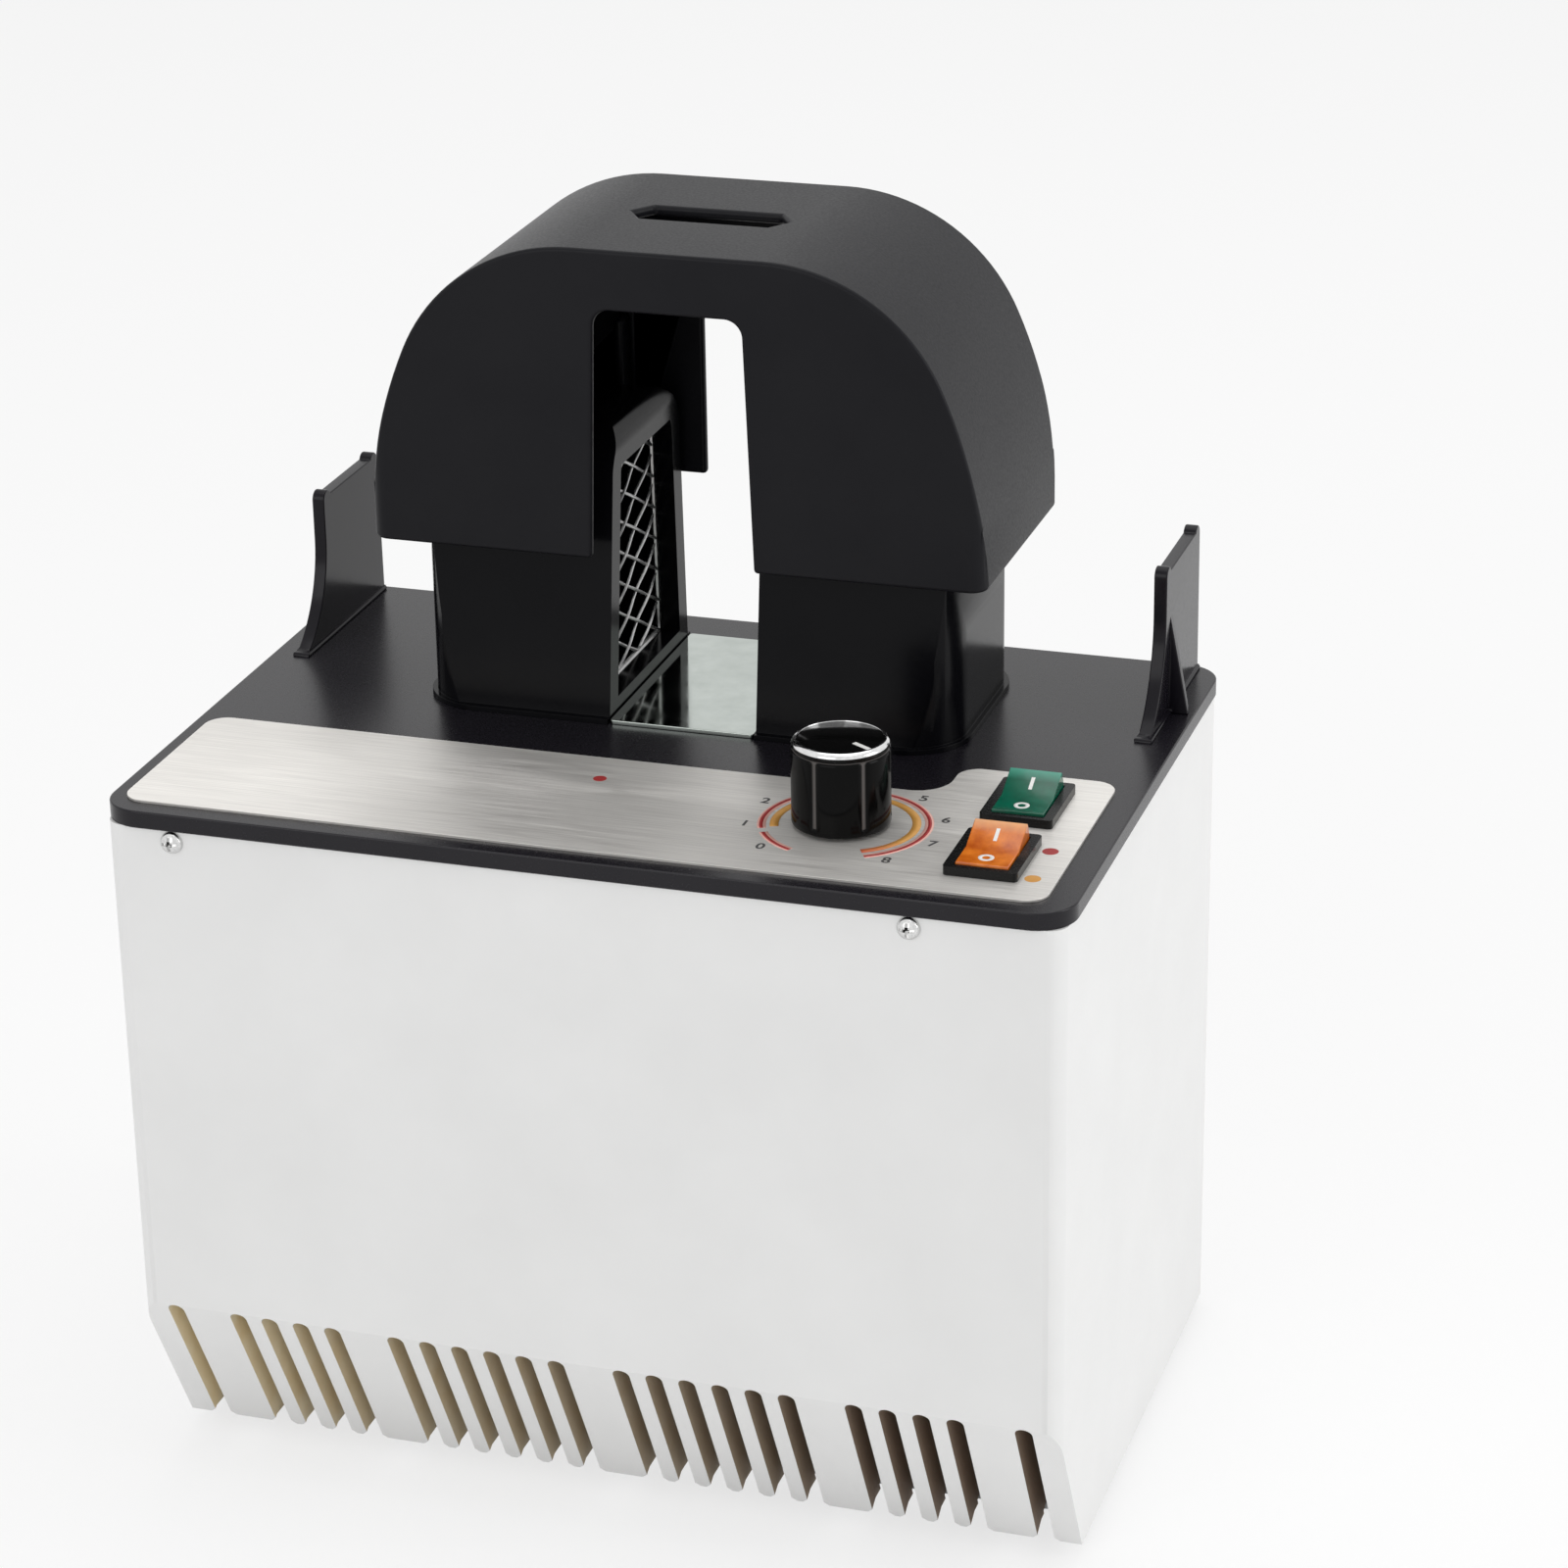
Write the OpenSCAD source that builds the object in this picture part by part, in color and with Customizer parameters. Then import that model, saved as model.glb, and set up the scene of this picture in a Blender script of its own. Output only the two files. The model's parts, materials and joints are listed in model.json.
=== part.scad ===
// Hot-air frame warmer for eyeglass frames: a white casing with a black cover, two facing
// air ducts with wire grilles, a lift-off hood over them, and a control panel.
// Origin: centre of the base, on the surface it stands on. X is to the right, Y is to the back.

/* [Casing] */
// Width of the cover, the widest part
case_w = 216; // [196:1:240]
// Depth of the cover
case_d = 145.4; // [136:0.2:170]
// Height from the casing's lower edge to the cover's top
case_h = 161.5; // [150:0.5:185]
// Thickness of the cover
cover_t = 4; // [3:0.1:6]
// Corner radius of the cover, seen from above
cover_r = 9; // [5:0.5:14]
// How far the cover stands out over the casing
overhang = 1.1; // [0.5:0.1:2.5]
// Wall thickness of the casing
wall = 2.5; // [2:0.1:4]
// Radius of the casing's upright edges
case_r = 4; // [3:0.5:6]
// Height of the rubber feet under the casing
foot_h = 3; // [2:0.5:8]
// Radius of a rubber foot
foot_r = 8; // [6:0.5:10]

/* [Air inlet band] */
// Height of the slanted band with the slots
band_h = 40; // [30:1:50]
// How far the band's lower edge is set back
band_in = 21.5; // [10:0.5:26]
// Depth of the band's ribs, square to the band
band_t = 9; // [5:0.5:12]
// Width of a slot
slot_w = 3.9; // [2.5:0.1:4.6]
// Distance from the cover's sides to the middle of the outermost slots
slot_side = 9.2; // [8:0.2:12]

/* [Air ducts] */
// Half of the gap between the two ducts
gap_half = 17.2; // [15:0.1:22]
// Distance from the middle to a duct's outer side
duct_out = 62.5; // [58:0.5:68]
// Front of the ducts at their foot
duct_front = 3; // [1:0.5:6]
// Back of the ducts at their foot
duct_back = 58; // [55:0.5:60]
// Height of the ducts above the cover
duct_h = 65.5; // [60:0.5:72]
// Wall thickness of the ducts
duct_wall = 2.2; // [1.6:0.1:3]
// Depth of the frame in front of the grille
grille_set = 4.6; // [3:0.1:6]
// Width of the frame round the grille
grille_rim = 5.5; // [4:0.5:7]
// Width of a grille wire
wire_w = 1.0; // [0.7:0.1:1.5]
// Height of one diamond of the grille
mesh_h = 7.5; // [5:0.5:10]

/* [Hood] */
// Distance from a duct's outer side to the hood's, at the foot
hood_room = 8.5; // [7.6:0.1:14]
// Height of the hood
hood_h = 70.5; // [68:0.5:80]
// Wall thickness of the hood
hood_wall = 2.4; // [1.6:0.1:3]
// Gap from the ducts to the hood's front and back walls
hood_gap = 2.1; // [1.9:0.1:4]
// How far the hood is raised
hood_lift = 40; // [0:1:44]
// Height of the hood's front and back windows
window_h = 57; // [50:1:60]
// Half of the front window's width at its top
window_half = 17; // [15:0.5:20]
// Half of the back window's width
back_half = 12.5; // [10:0.5:17]
// Length of the slot in the hood's top
top_slot_l = 36; // [24:1:44]
// Width of the slot in the hood's top
top_slot_w = 10; // [7:0.5:14]

/* [Side rests] */
// Height of the side rests above the cover
rest_h = 35.5; // [28:0.5:45]
// Thickness of a side rest
rest_t = 3; // [2.4:0.1:4]
// Distance from the cover's side to a side rest's inner face
rest_side = 8.8; // [8.4:0.1:12]
// Distance from the cover's back to a side rest
rest_behind = 1.7; // [1.5:0.1:8]
// Length of a side rest's foot
rest_l = 48.5; // [40:0.5:54]

/* [Controls] */
// Thickness of the brushed control panel
panel_t = 0.6; // [0.4:0.1:1]
// Distance from the cover's right side to the middle of the knob
knob_side = 58; // [52:1:68]
// Distance from the cover's front to the middle of the knob
knob_front = 33.1; // [27:0.1:38]
// Radius of the knob
knob_r = 10.7; // [9:0.1:13]
// Height of the knob
knob_h = 19; // [14:0.5:24]
// Radius of the control shaft
shaft_r = 3; // [2.5:0.1:3.2]
// Distance from the cover's right side to the middle of the two switches
switch_side = 22.2; // [18:0.2:26]
// Distance from the cover's front to the middle of the heater switch
heat_front = 23.3; // [19:0.1:27]
// Distance from the cover's front to the middle of the mains switch
mains_front = 52.1; // [49:0.1:54]
// Width of a switch's frame
bezel_w = 16; // [15:0.1:18]
// Length of a switch's frame
bezel_l = 21.3; // [20:0.1:24]
// Half of a rocker's whole travel, in degrees
rock = 12; // [8:1:14]

/* [Blower] */
// Radius of the blower wheel
wheel_r = 35; // [28:0.5:37]
// Width of the blower wheel
wheel_w = 28; // [20:0.5:30]
// Number of blades on the blower wheel
blades = 26; // [16:1:36]
// Radius of the scroll housing
scroll_r = 45; // [43:0.5:47]
// Depth of the scroll housing
scroll_d = 40; // [36:0.5:42]
// Height of the blower's axis above the casing's lower edge
blower_h = 62; // [56:1:68]
// Radius of the motor
motor_r = 23; // [18:0.5:26]
// Clearance between the motor and the back wall
motor_gap = 3.1; // [2:0.1:7]
// Radius of the motor shaft
axle_r = 2; // [1.5:0.1:3]

/* [Inlet] */
// Distance from the cover's left side to the middle of the mains inlet
inlet_side = 33; // [30:1:48]
// Height of the mains inlet above the casing's lower edge
inlet_h = 38; // [20:1:60]
// Distance from the cover's right side to the middle of the fuse holder
fuse_side = 30; // [22:1:44]

/* [Hidden] */
$fn = 48;

// Clearances
slide_gap = 0.3;  // between plastic pieces that slide past each other
shaft_gap = 0.05; // round a shaft that turns in its hole
fit_gap = 0.2;    // round a fixed piece in its cut-out
over = 1;         // how far a cut runs past a face

// Levels and planes of the casing
case_z = foot_h;
top_z = case_z + case_h;
lip_z = top_z - cover_t;
side_x = case_w / 2 - overhang;
side_y = case_d / 2 - overhang;
in_x = side_x - wall;
in_y = side_y - wall;
band_angle = atan(band_in / band_h);
band_shift = band_t / cos(band_angle);
bend_z = case_z + band_h;
slots = [0, 2, 3, 4, 5, 7, 8, 9, 10, 11, 12, 14, 15, 16, 17, 18, 19, 21, 22, 23, 24, 26];
slot_places = 26;
slot_pitch = (case_w - 2 * slot_side) / slot_places;

// Screws
screw_r = 1.5;
screw_hole_r = 1.7;
head_r = 2.6;
head_h = 2;
boss_r = 4.5;
screw_z = lip_z - head_r - fit_gap;
cover_screw_x = [17 - case_w / 2, case_w / 2 - 34];
cover_screw_l = 9;
skirt_t = 2.5;
skirt_h = 12;

// Base
base_t = 1.5;
base_z = case_z + 1;
floor_z = base_z + base_t;
base_front = -side_y + band_in + band_shift + 0.4;
boss_places = [for (sx = [-1, 1]) for (y = [base_front + 8, in_y - boss_r + 0.5])
  [sx * (in_x - boss_r + 0.5), y]];
foot_places = [for (sx = [-1, 1]) for (y = [base_front + foot_r + 4, in_y - foot_r - 5])
  [sx * (in_x - foot_r - 7.5), y]];

// Ducts
duct_lean = 7;        // lean of the front face, in degrees
back_lean = 2.5;      // lean of the back face, in degrees
duct_r = 13;          // radius of the outer upright edges
duct_kink = 0.4;      // how far their arcs start outside the leaning faces
duct_arc = min(duct_out - 22.5, duct_out - gap_half - duct_wall - 0.6);   // outer shoulder
arc_x = duct_out - duct_arc;
arc_z = duct_h - duct_arc;
nose_r = arc_x - gap_half;  // radius of the inner top edge
round_r = 12.5;       // radius of the top's front and back edges
round_kink = 0.05;    // how far their arcs start outside the leaning faces
sill_h = 4;
sill_t = 8;
flange_w = 1.2;
flange_h = 1.2;
duct_screw_l = cover_t + 3.5;
duct_screws_at = [[duct_out - 7, duct_front + 7.5], [duct_out - 7, duct_back - 7.5],
  [gap_half + 5, (duct_front + duct_back) / 2]];
port = [[gap_half + sill_t + 1, duct_front + 6], [duct_out - 12, duct_back - 6]];
grille_t = 1;
mesh_w = 14.5;
mesh_angle = atan(mesh_h / mesh_w);

// Hood
hood_front = duct_front - hood_gap - hood_wall;
hood_back = duct_back + hood_gap + hood_wall;
hood_mid = (hood_front + hood_back) / 2;
hood_z = top_z + slide_gap + hood_lift;
hood_half = duct_out + hood_room;
side_shift = 39;      // how far past the middle the arc of each side has its centre
hood_side_r = hood_half + side_shift;   // radius of the sides, which are upright at the foot
hood_arc = hood_half - 27.5;            // radius of the shoulders
hood_turn = asin((hood_h - hood_arc) / (hood_side_r - hood_arc));   // lean where the two meet
hood_arc_x = (hood_side_r - hood_arc) * cos(hood_turn) - side_shift;
hood_arc_z = hood_h - hood_arc;
hood_r = 4;
window_r = 4;
rib_x = 30;           // inner side of a guide rib
rib_t = 2;
rib_l = 36;
rib_reach = 4.1;      // how far a rib stands into the duct's back face
groove_y = duct_back - rib_reach - slide_gap;

// Side rests
tenon_l = 30;
tenon_t = 2.2;
tenon_h = 3;
rest_in = case_w / 2 - rest_side;
rest_back = case_d / 2 - rest_behind;
rest_front = rest_back - rest_l;
rest_mid = (rest_front + rest_back) / 2;

// Controls
panel_z = top_z + panel_t;
knob_x = case_w / 2 - knob_side;
knob_y = knob_front - case_d / 2;
switch_x = case_w / 2 - switch_side;
heat_y = heat_front - case_d / 2;
mains_y = mains_front - case_d / 2;
panel_left = -case_w / 2 + 3.5;
panel_right = case_w / 2 - 6.4;
panel_front = -case_d / 2 + 4.7;
panel_back = duct_front - 21.3;
panel_step_x = switch_x - 19.3;
panel_step_y = duct_front - 5.6;
bush_r = shaft_r + 1;
bush_h = 5;
pot_r = 8.2;
pot_h = 9;
nut_h = 2.2;
nut_r = bush_r + 2.2;
knob_gap = 0.8;
knob_z = panel_z + knob_gap;
cap_h = 1.2;
flutes = 6;
bezel_h = 2;
body_w = bezel_w - 2.6;
body_l = bezel_l - 2.2;
body_h = 16;
open_w = body_w - 1.5;
open_l = body_l - 1.1;
rocker_r = open_l / 2 - 0.2;
rocker_w = open_w - 0.5;
pivot_z = panel_z + 0.5;
pin_r = 1.2;

// Blower
blower_x = 22;
blower_y = 6;
blower_z = case_z + blower_h;
scroll_wall = 2;
scroll_back = blower_y + scroll_d;
motor_l = in_y - scroll_back - motor_gap;
air_box_h = 38;
air_box_z = lip_z - air_box_h;
outlet_x0 = blower_x - scroll_r;
outlet_w = 37;
wheel_y = blower_y + 4;
axle_gap = 0.02;

// Air box and heaters
box_x = duct_out - 3;
box_front = duct_front + 2;
box_back = duct_back - 2;
box_wall = 1.2;
heater_x = (port[0][0] + port[1][0]) / 2;
heater_y = (box_front + box_back) / 2;
heater_half = 10;
heater_h = 28;
wire_r = 0.4;
coil_turns = 7;
coil_r = heater_half + wire_r + 0.1;

// Board
board_x = 32 - case_w / 2;
board_y = 5;
board_w = 44;
board_l = 60;
board_t = 1.6;
board_z = floor_z + 7;
sink_w = 12;
sink_l = 24;
sink_h = 16;
fin_t = 1.8;
film_w = 18;
film_l = 9;
film_h = 15;
block_w = 24;
block_l = 16;
block_h = 13;
block_x = case_w / 2 - block_w - 12;
block_y = 8;

// Inlet and fuse holder
inlet_x = inlet_side - case_w / 2;
fuse_x = case_w / 2 - fuse_side;
fuse_r = 6;
inlet_w = 27.2;
inlet_t = 19.8;
inlet_ear = 20;
plate_w = 50;
plate_h = 23;
body_deep = 24;
socket_deep = 14;
socket_w = 24;
socket_h = 16.5;

// Draws a shape given as Y across and Z up, from x0 to x1
module along_x(x0, x1) {
  translate([x0, 0, 0]) rotate([90, 0, 90]) linear_extrude(x1 - x0) children();
}

// Draws a shape given as X across and Z up, from y0 to y1
module along_y(y0, y1) {
  translate([0, y1, 0]) rotate([90, 0, 0]) linear_extrude(y1 - y0) children();
}

// A rectangle with round corners, given by two opposite corners
module round_box(a, b, r) {
  translate([a[0] + r, a[1]]) square([b[0] - a[0] - 2 * r, b[1] - a[1]]);
  translate([a[0], a[1] + r]) square([b[0] - a[0], b[1] - a[1] - 2 * r]);
  for (x = [a[0] + r, b[0] - r]) for (y = [a[1] + r, b[1] - r]) translate([x, y]) circle(r);
}

module centred_box(w, d, r) {
  round_box([-w / 2, -d / 2], [w / 2, d / 2], r);
}

// A pan-head screw along +Z: its head's flat face is at the origin and its shank goes up
module pan_screw(l) {
  difference() {
    translate([0, 0, -head_h]) cylinder(h = head_h, r = head_r);
    for (a = [0, 90]) rotate(a) translate([-1.6, -0.35, -head_h - over]) cube([3.2, 0.7, over + 1]);
  }
  cylinder(h = l, r = screw_r);
}

// ---- Casing ----

module case_outline() {
  polygon([[-side_y, lip_z], [-side_y, bend_z], [-side_y + band_in, case_z],
    [side_y, case_z], [side_y, lip_z]]);
}

module case_inside() {
  band_top = bend_z + (band_shift - wall) * band_h / band_in;
  low = over * band_in / band_h;
  polygon([[-in_y, lip_z + over], [-in_y, band_top],
    [-side_y + band_in + band_shift + low, case_z - over], [in_y + over, case_z - over],
    [in_y + over, lip_z + over]]);
}

// One slot of the band, with its round top at the bend and its lower end flared open
module slot() {
  l = band_h / cos(band_angle);
  flare = 1.2;
  translate([0, -side_y, bend_z]) rotate([90 + band_angle, 0, 0])
    translate([0, 0, -band_t - 6]) linear_extrude(band_t + 12) {
      translate([0, -slot_w / 2]) circle(slot_w / 2);
      polygon([[-slot_w / 2, -slot_w / 2], [-slot_w / 2, -l + flare], [-slot_w / 2 - flare, -l],
        [-slot_w / 2 - flare, -l - 8], [slot_w / 2 + flare, -l - 8], [slot_w / 2 + flare, -l],
        [slot_w / 2, -l + flare], [slot_w / 2, -slot_w / 2]]);
    }
}

module casing() {
  color("white") {
    difference() {
      intersection() {
        translate([0, 0, case_z]) linear_extrude(lip_z - case_z)
          centred_box(2 * side_x, 2 * side_y, case_r);
        along_x(-side_x, side_x) case_outline();
      }
      intersection() {
        translate([0, 0, case_z - over]) linear_extrude(lip_z - case_z + 2 * over)
          centred_box(2 * in_x, 2 * in_y, 1);
        along_x(-in_x, in_x) case_inside();
      }
      for (i = slots) translate([(i - slot_places / 2) * slot_pitch, 0, 0]) slot();
      for (x = cover_screw_x)
        translate([x, 0, screw_z]) rotate([90, 0, 0])
          cylinder(h = case_d, r = screw_hole_r, center = true);
      inlet_cut();
      translate([fuse_x, side_y + over, case_z + inlet_h]) rotate([90, 0, 0])
        cylinder(h = wall + 2 * over, r = fuse_r + fit_gap / 2);
    }
    for (p = boss_places) difference() {
      translate([p[0], p[1], floor_z]) cylinder(h = 20, r = boss_r);
      translate([p[0], p[1], floor_z - over]) cylinder(h = 14, r = screw_r + shaft_gap);
      // keeps the boss out of the side walls' outer half
      for (s = [-1, 1]) translate([s * (in_x + wall / 2 + 10), 0, floor_z + 10])
        cube([20, case_d, 22], center = true);
    }
  }
}

// ---- Cover and what stands on it ----

module rest_tenon(gap) {
  translate([rest_in + (rest_t - tenon_t) / 2 - gap, rest_mid - tenon_l / 2 - gap,
    top_z - tenon_h - gap])
    cube([tenon_t + 2 * gap, tenon_l + 2 * gap, tenon_h + gap]);
}

module duct_screw_holes() {
  for (s = [-1, 1]) for (p = duct_screws_at)
    translate([s * p[0], p[1], lip_z - over])
      cylinder(h = cover_t + 2 * over, r = screw_hole_r);
}

module cover() {
  color("dimgray") difference() {
    union() {
      translate([0, 0, lip_z]) linear_extrude(cover_t) centred_box(case_w, case_d, cover_r);
      translate([0, 0, lip_z - skirt_h]) linear_extrude(skirt_h + over) difference() {
        centred_box(2 * (in_x - slide_gap), 2 * (in_y - slide_gap), 1);
        centred_box(2 * (in_x - slide_gap - skirt_t), 2 * (in_y - slide_gap - skirt_t), 1);
      }
      for (x = cover_screw_x) for (s = [-1, 1])
        translate([x, s * (in_y - slide_gap - 4), lip_z - 4 + over / 2])
          cube([9, 8, 8 + over], center = true);
    }
    for (x = cover_screw_x) for (s = [-1, 1])
      translate([x, s * (side_y - cover_screw_l / 2 - 1), screw_z]) rotate([90, 0, 0])
        cylinder(h = cover_screw_l + 3, r = screw_r + shaft_gap, center = true);
    for (s = [-1, 1]) scale_x(s) {
      translate([0, 0, lip_z - over]) linear_extrude(cover_t + 2 * over)
        round_box(port[0], port[1], 3);
      rest_tenon(0.1);
    }
    duct_screw_holes();
    translate([knob_x, knob_y, lip_z - over])
      cylinder(h = cover_t + 2 * over, r = bush_r + fit_gap / 2);
    for (y = [heat_y, mains_y]) translate([switch_x, y, lip_z - over])
      linear_extrude(cover_t + 2 * over) switch_cut();
  }
}

// The right-hand piece, or its mirror image on the left
module scale_x(s) {
  mirror([s < 0 ? 1 : 0, 0, 0]) children();
}

// Outline of a side rest seen from the side: a leaning blade on a foot that sweeps forward
module rest_outline() {
  front_top = rest_front + 15;
  back_top = rest_back - 0.6;
  sweep = 27;
  sweep_z = 24;
  sunk = 1.2;
  bead = 2.2;
  difference() {
    polygon([[rest_front, 0], [rest_back, 0], [back_top, rest_h - bead],
      [back_top - bead, rest_h - sunk], [front_top + bead, rest_h - sunk],
      [front_top, rest_h - bead], [front_top, sweep_z], [rest_front, 1]]);
    translate([front_top - sweep, sweep_z]) circle(sweep, $fn = 96);
  }
  for (y = [front_top + bead, back_top - bead]) translate([y, rest_h - bead]) circle(bead);
}

module side_rest() {
  outer = rest_in + rest_t;
  color("dimgray") {
    translate([0, 0, top_z]) {
      along_x(rest_in, outer) rest_outline();
      // low foot bead along both faces
      along_x(rest_in - 0.6, outer + 0.6)
        polygon([[rest_front, 0], [rest_back, 0], [rest_back, 0.8], [rest_front + 0.5, 0.8]]);
      // brace on the outer face
      translate([0, rest_front + 21, 0]) rotate([90, 0, 0]) linear_extrude(2)
        polygon([[outer - over, 0], [outer + 4.4, 0], [outer, 23], [outer - over, 23]]);
    }
    rest_tenon(0);
  }
}

module right_side_rest() { side_rest(); }
module left_side_rest() { scale_x(-1) side_rest(); }

// Right duct seen from the front, t smaller all round; its inner side is at x0
module duct_front_outline(t, x0, z0) {
  translate([x0, z0]) square([arc_x - x0, duct_h - nose_r - z0]);
  intersection() {
    translate([arc_x, duct_h - nose_r]) circle(nose_r - t);
    translate([x0, duct_h - nose_r]) square([arc_x - x0, nose_r]);
  }
  translate([arc_x, z0]) square([duct_arc - t, arc_z - z0]);
  intersection() {
    translate([arc_x, arc_z]) circle(duct_arc - t, $fn = 96);
    translate([arc_x, arc_z]) square([duct_arc, duct_arc]);
  }
}

// Duct seen from the side, t smaller all round: two leaning faces under a top with round ends
module duct_side_outline(t, z0) {
  r = round_r - t;
  zr = duct_h - round_r;
  y0 = duct_front + zr * tan(duct_lean) - round_kink;
  y1 = duct_back - zr * tan(back_lean) + round_kink;
  top = duct_h + over;
  intersection() {
    polygon([[duct_front + t + z0 * tan(duct_lean), z0], [duct_back - t - z0 * tan(back_lean), z0],
      [duct_back - t - top * tan(back_lean), top], [duct_front + t + top * tan(duct_lean), top]]);
    union() {
      translate([0, z0]) square([duct_back, zr - z0]);
      for (y = [y0 + round_r, y1 - round_r]) translate([y, zr]) circle(r);
      translate([y0 + round_r, zr]) square([y1 - y0 - 2 * round_r, r]);
    }
  }
}

// Duct seen from above, t smaller all round, with its inner side at x0
module duct_plan(t, x0) {
  r = duct_r - t;
  y0 = duct_front - duct_kink;
  y1 = duct_back + duct_kink;
  translate([x0, y0 + t]) square([duct_out - duct_r - x0, y1 - y0 - 2 * t]);
  translate([x0, y0 + duct_r]) square([duct_out - t - x0, y1 - y0 - 2 * duct_r]);
  for (y = [y0 + duct_r, y1 - duct_r]) translate([duct_out - duct_r, y]) circle(r);
}

module duct_block(t, x0, z0) {
  intersection() {
    along_y(duct_front - over, duct_back + over) duct_front_outline(t, x0, z0);
    along_x(x0 - over, duct_out + over) duct_side_outline(t, z0);
    translate([0, 0, z0 - over]) linear_extrude(duct_h + 2 * over - z0) duct_plan(t, x0 - over);
  }
}

// Opening in the duct's inner face
module grille_outline(t) {
  intersection() {
    duct_side_outline(t, 0);
    translate([0, sill_h]) square([duct_back, duct_h - nose_r - sill_h - t + 2]);
  }
}

module duct() {
  inner = gap_half + grille_set;
  color("#222222") translate([0, 0, top_z]) difference() {
    union() {
      difference() {
        union() {
          duct_block(0, gap_half, 0);
          intersection() {
            linear_extrude(flange_h) duct_plan(-flange_w, gap_half);
            translate([gap_half, 0, 0]) cube([duct_out, duct_back + 2 * flange_w, flange_h]);
          }
        }
        duct_block(duct_wall, inner, -over);
      }
      // sill, screw bosses and the pad behind the guide groove
      intersection() {
        duct_block(0.5, gap_half, 0);
        union() {
          translate([gap_half, duct_front, 0]) cube([sill_t, duct_back - duct_front, sill_h]);
          for (i = [0, 1]) translate([duct_screws_at[i][0], duct_screws_at[i][1], 0])
            cylinder(h = 10, r = 3.6);
          translate([rib_x - slide_gap - duct_wall, groove_y - duct_wall, 0])
            cube([rib_t + 2 * slide_gap + 2 * duct_wall, duct_back, duct_h]);
        }
      }
    }
    along_x(gap_half - over, inner + over) grille_outline(grille_rim);
    for (p = duct_screws_at) translate([p[0], p[1], -over])
      cylinder(h = duct_screw_l - cover_t + 0.3 + over, r = screw_r + shaft_gap);
    translate([rib_x - slide_gap, groove_y, flange_h])
      cube([rib_t + 2 * slide_gap, duct_back, duct_h]);
  }
}

module right_duct() { duct(); }
module left_duct() { scale_x(-1) duct(); }

// Wire grille with long diamonds, in the opening of the duct's inner face
module grille() {
  inner = gap_half + grille_set;
  mid = (duct_front + duct_back) / 2;
  color("silver") translate([0, 0, top_z]) along_x(inner, inner + grille_t) {
    difference() {
      grille_outline(grille_rim - 1.5);
      grille_outline(grille_rim + 0.8);
    }
    intersection() {
      grille_outline(grille_rim - 1);
      for (k = [-3 : 11]) for (s = [-1, 1])
        translate([mid, k * mesh_h]) rotate(s * mesh_angle)
          square([80, wire_w], center = true);
    }
  }
}

module right_grille() { grille(); }
module left_grille() { scale_x(-1) grille(); }

module floor_plate() {
  color("silver") translate([0, 0, top_z]) linear_extrude(1)
    round_box([-gap_half + slide_gap, duct_front - 1], [gap_half - slide_gap, duct_back + 1], 0.8);
}

// ---- Hood ----

// Hood seen from the front, t smaller all round
module hood_outline(t, z0) {
  meet = (hood_side_r - t) * sin(hood_turn);
  intersection() {
    translate([-side_shift, 0]) circle(hood_side_r - t, $fn = 180);
    translate([side_shift, 0]) circle(hood_side_r - t, $fn = 180);
    translate([-hood_half, z0]) square([2 * hood_half, meet - z0]);
  }
  for (s = [-1, 1]) intersection() {
    translate([s * hood_arc_x, hood_arc_z]) circle(hood_arc - t, $fn = 96);
    translate([-hood_half, meet - over]) square([2 * hood_half, hood_arc]);
  }
  translate([-hood_arc_x, meet - over]) square([2 * hood_arc_x, hood_h - t - meet + over]);
}

module hood_block(t, z0) {
  intersection() {
    along_y(hood_front + t, hood_back - t) hood_outline(t, z0);
    translate([0, hood_mid, z0]) linear_extrude(hood_h + over - z0)
      centred_box(2 * (hood_half - t), hood_back - hood_front - 2 * t, hood_r - t);
  }
}

// Opening in a hood wall: half its width at the foot and at the top
module window_outline(foot, top) {
  polygon([[-foot, -over], [foot, -over], [top, window_h - window_r],
    [-top, window_h - window_r]]);
  translate([-top + window_r, window_h - window_r - over])
    square([2 * (top - window_r), window_r + over]);
  for (s = [-1, 1]) translate([s * (top - window_r), window_h - window_r]) circle(window_r);
}

// Long slot with pointed ends in the hood's top
module top_slot_outline() {
  point = top_slot_w / 3;
  polygon([[-top_slot_l / 2, 0], [-top_slot_l / 2 + point, -top_slot_w / 2],
    [top_slot_l / 2 - point, -top_slot_w / 2], [top_slot_l / 2, 0],
    [top_slot_l / 2 - point, top_slot_w / 2], [-top_slot_l / 2 + point, top_slot_w / 2]]);
}

module hood() {
  color("#2a2a2c") translate([0, 0, hood_z]) {
    difference() {
      hood_block(0, 0);
      hood_block(hood_wall, -over);
      along_y(hood_front - over, hood_front + hood_wall + over)
        window_outline(window_half + 1.8, window_half);
      along_y(hood_back - hood_wall - over, hood_back + over) window_outline(back_half, back_half);
      translate([0, hood_mid, hood_h - hood_wall - over]) linear_extrude(hood_wall + 2 * over)
        top_slot_outline();
    }
    // guide ribs on the back wall, which run in the ducts' grooves
    for (s = [-1, 1]) scale_x(s)
      translate([rib_x, duct_back - rib_reach, 1.5])
        cube([rib_t, hood_gap + rib_reach + 0.4, rib_l]);
  }
}

// ---- Control panel ----

module panel_outline() {
  r = 5;
  step_r = 8;
  difference() {
    union() {
      round_box([panel_left, panel_front], [panel_right, panel_back], r);
      round_box([panel_step_x, panel_back - 20], [panel_right, panel_step_y], r);
      translate([panel_step_x - step_r, panel_back - r]) square([step_r + r, step_r + r]);
    }
    translate([panel_step_x - step_r, panel_back + step_r]) circle(step_r);
    translate([panel_step_x - 2 * step_r, panel_back + step_r])
      square([2 * step_r, step_r]);
  }
}

module switch_cut() {
  square([body_w + 2 * fit_gap, body_l + 2 * fit_gap], center = true);
}

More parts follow.
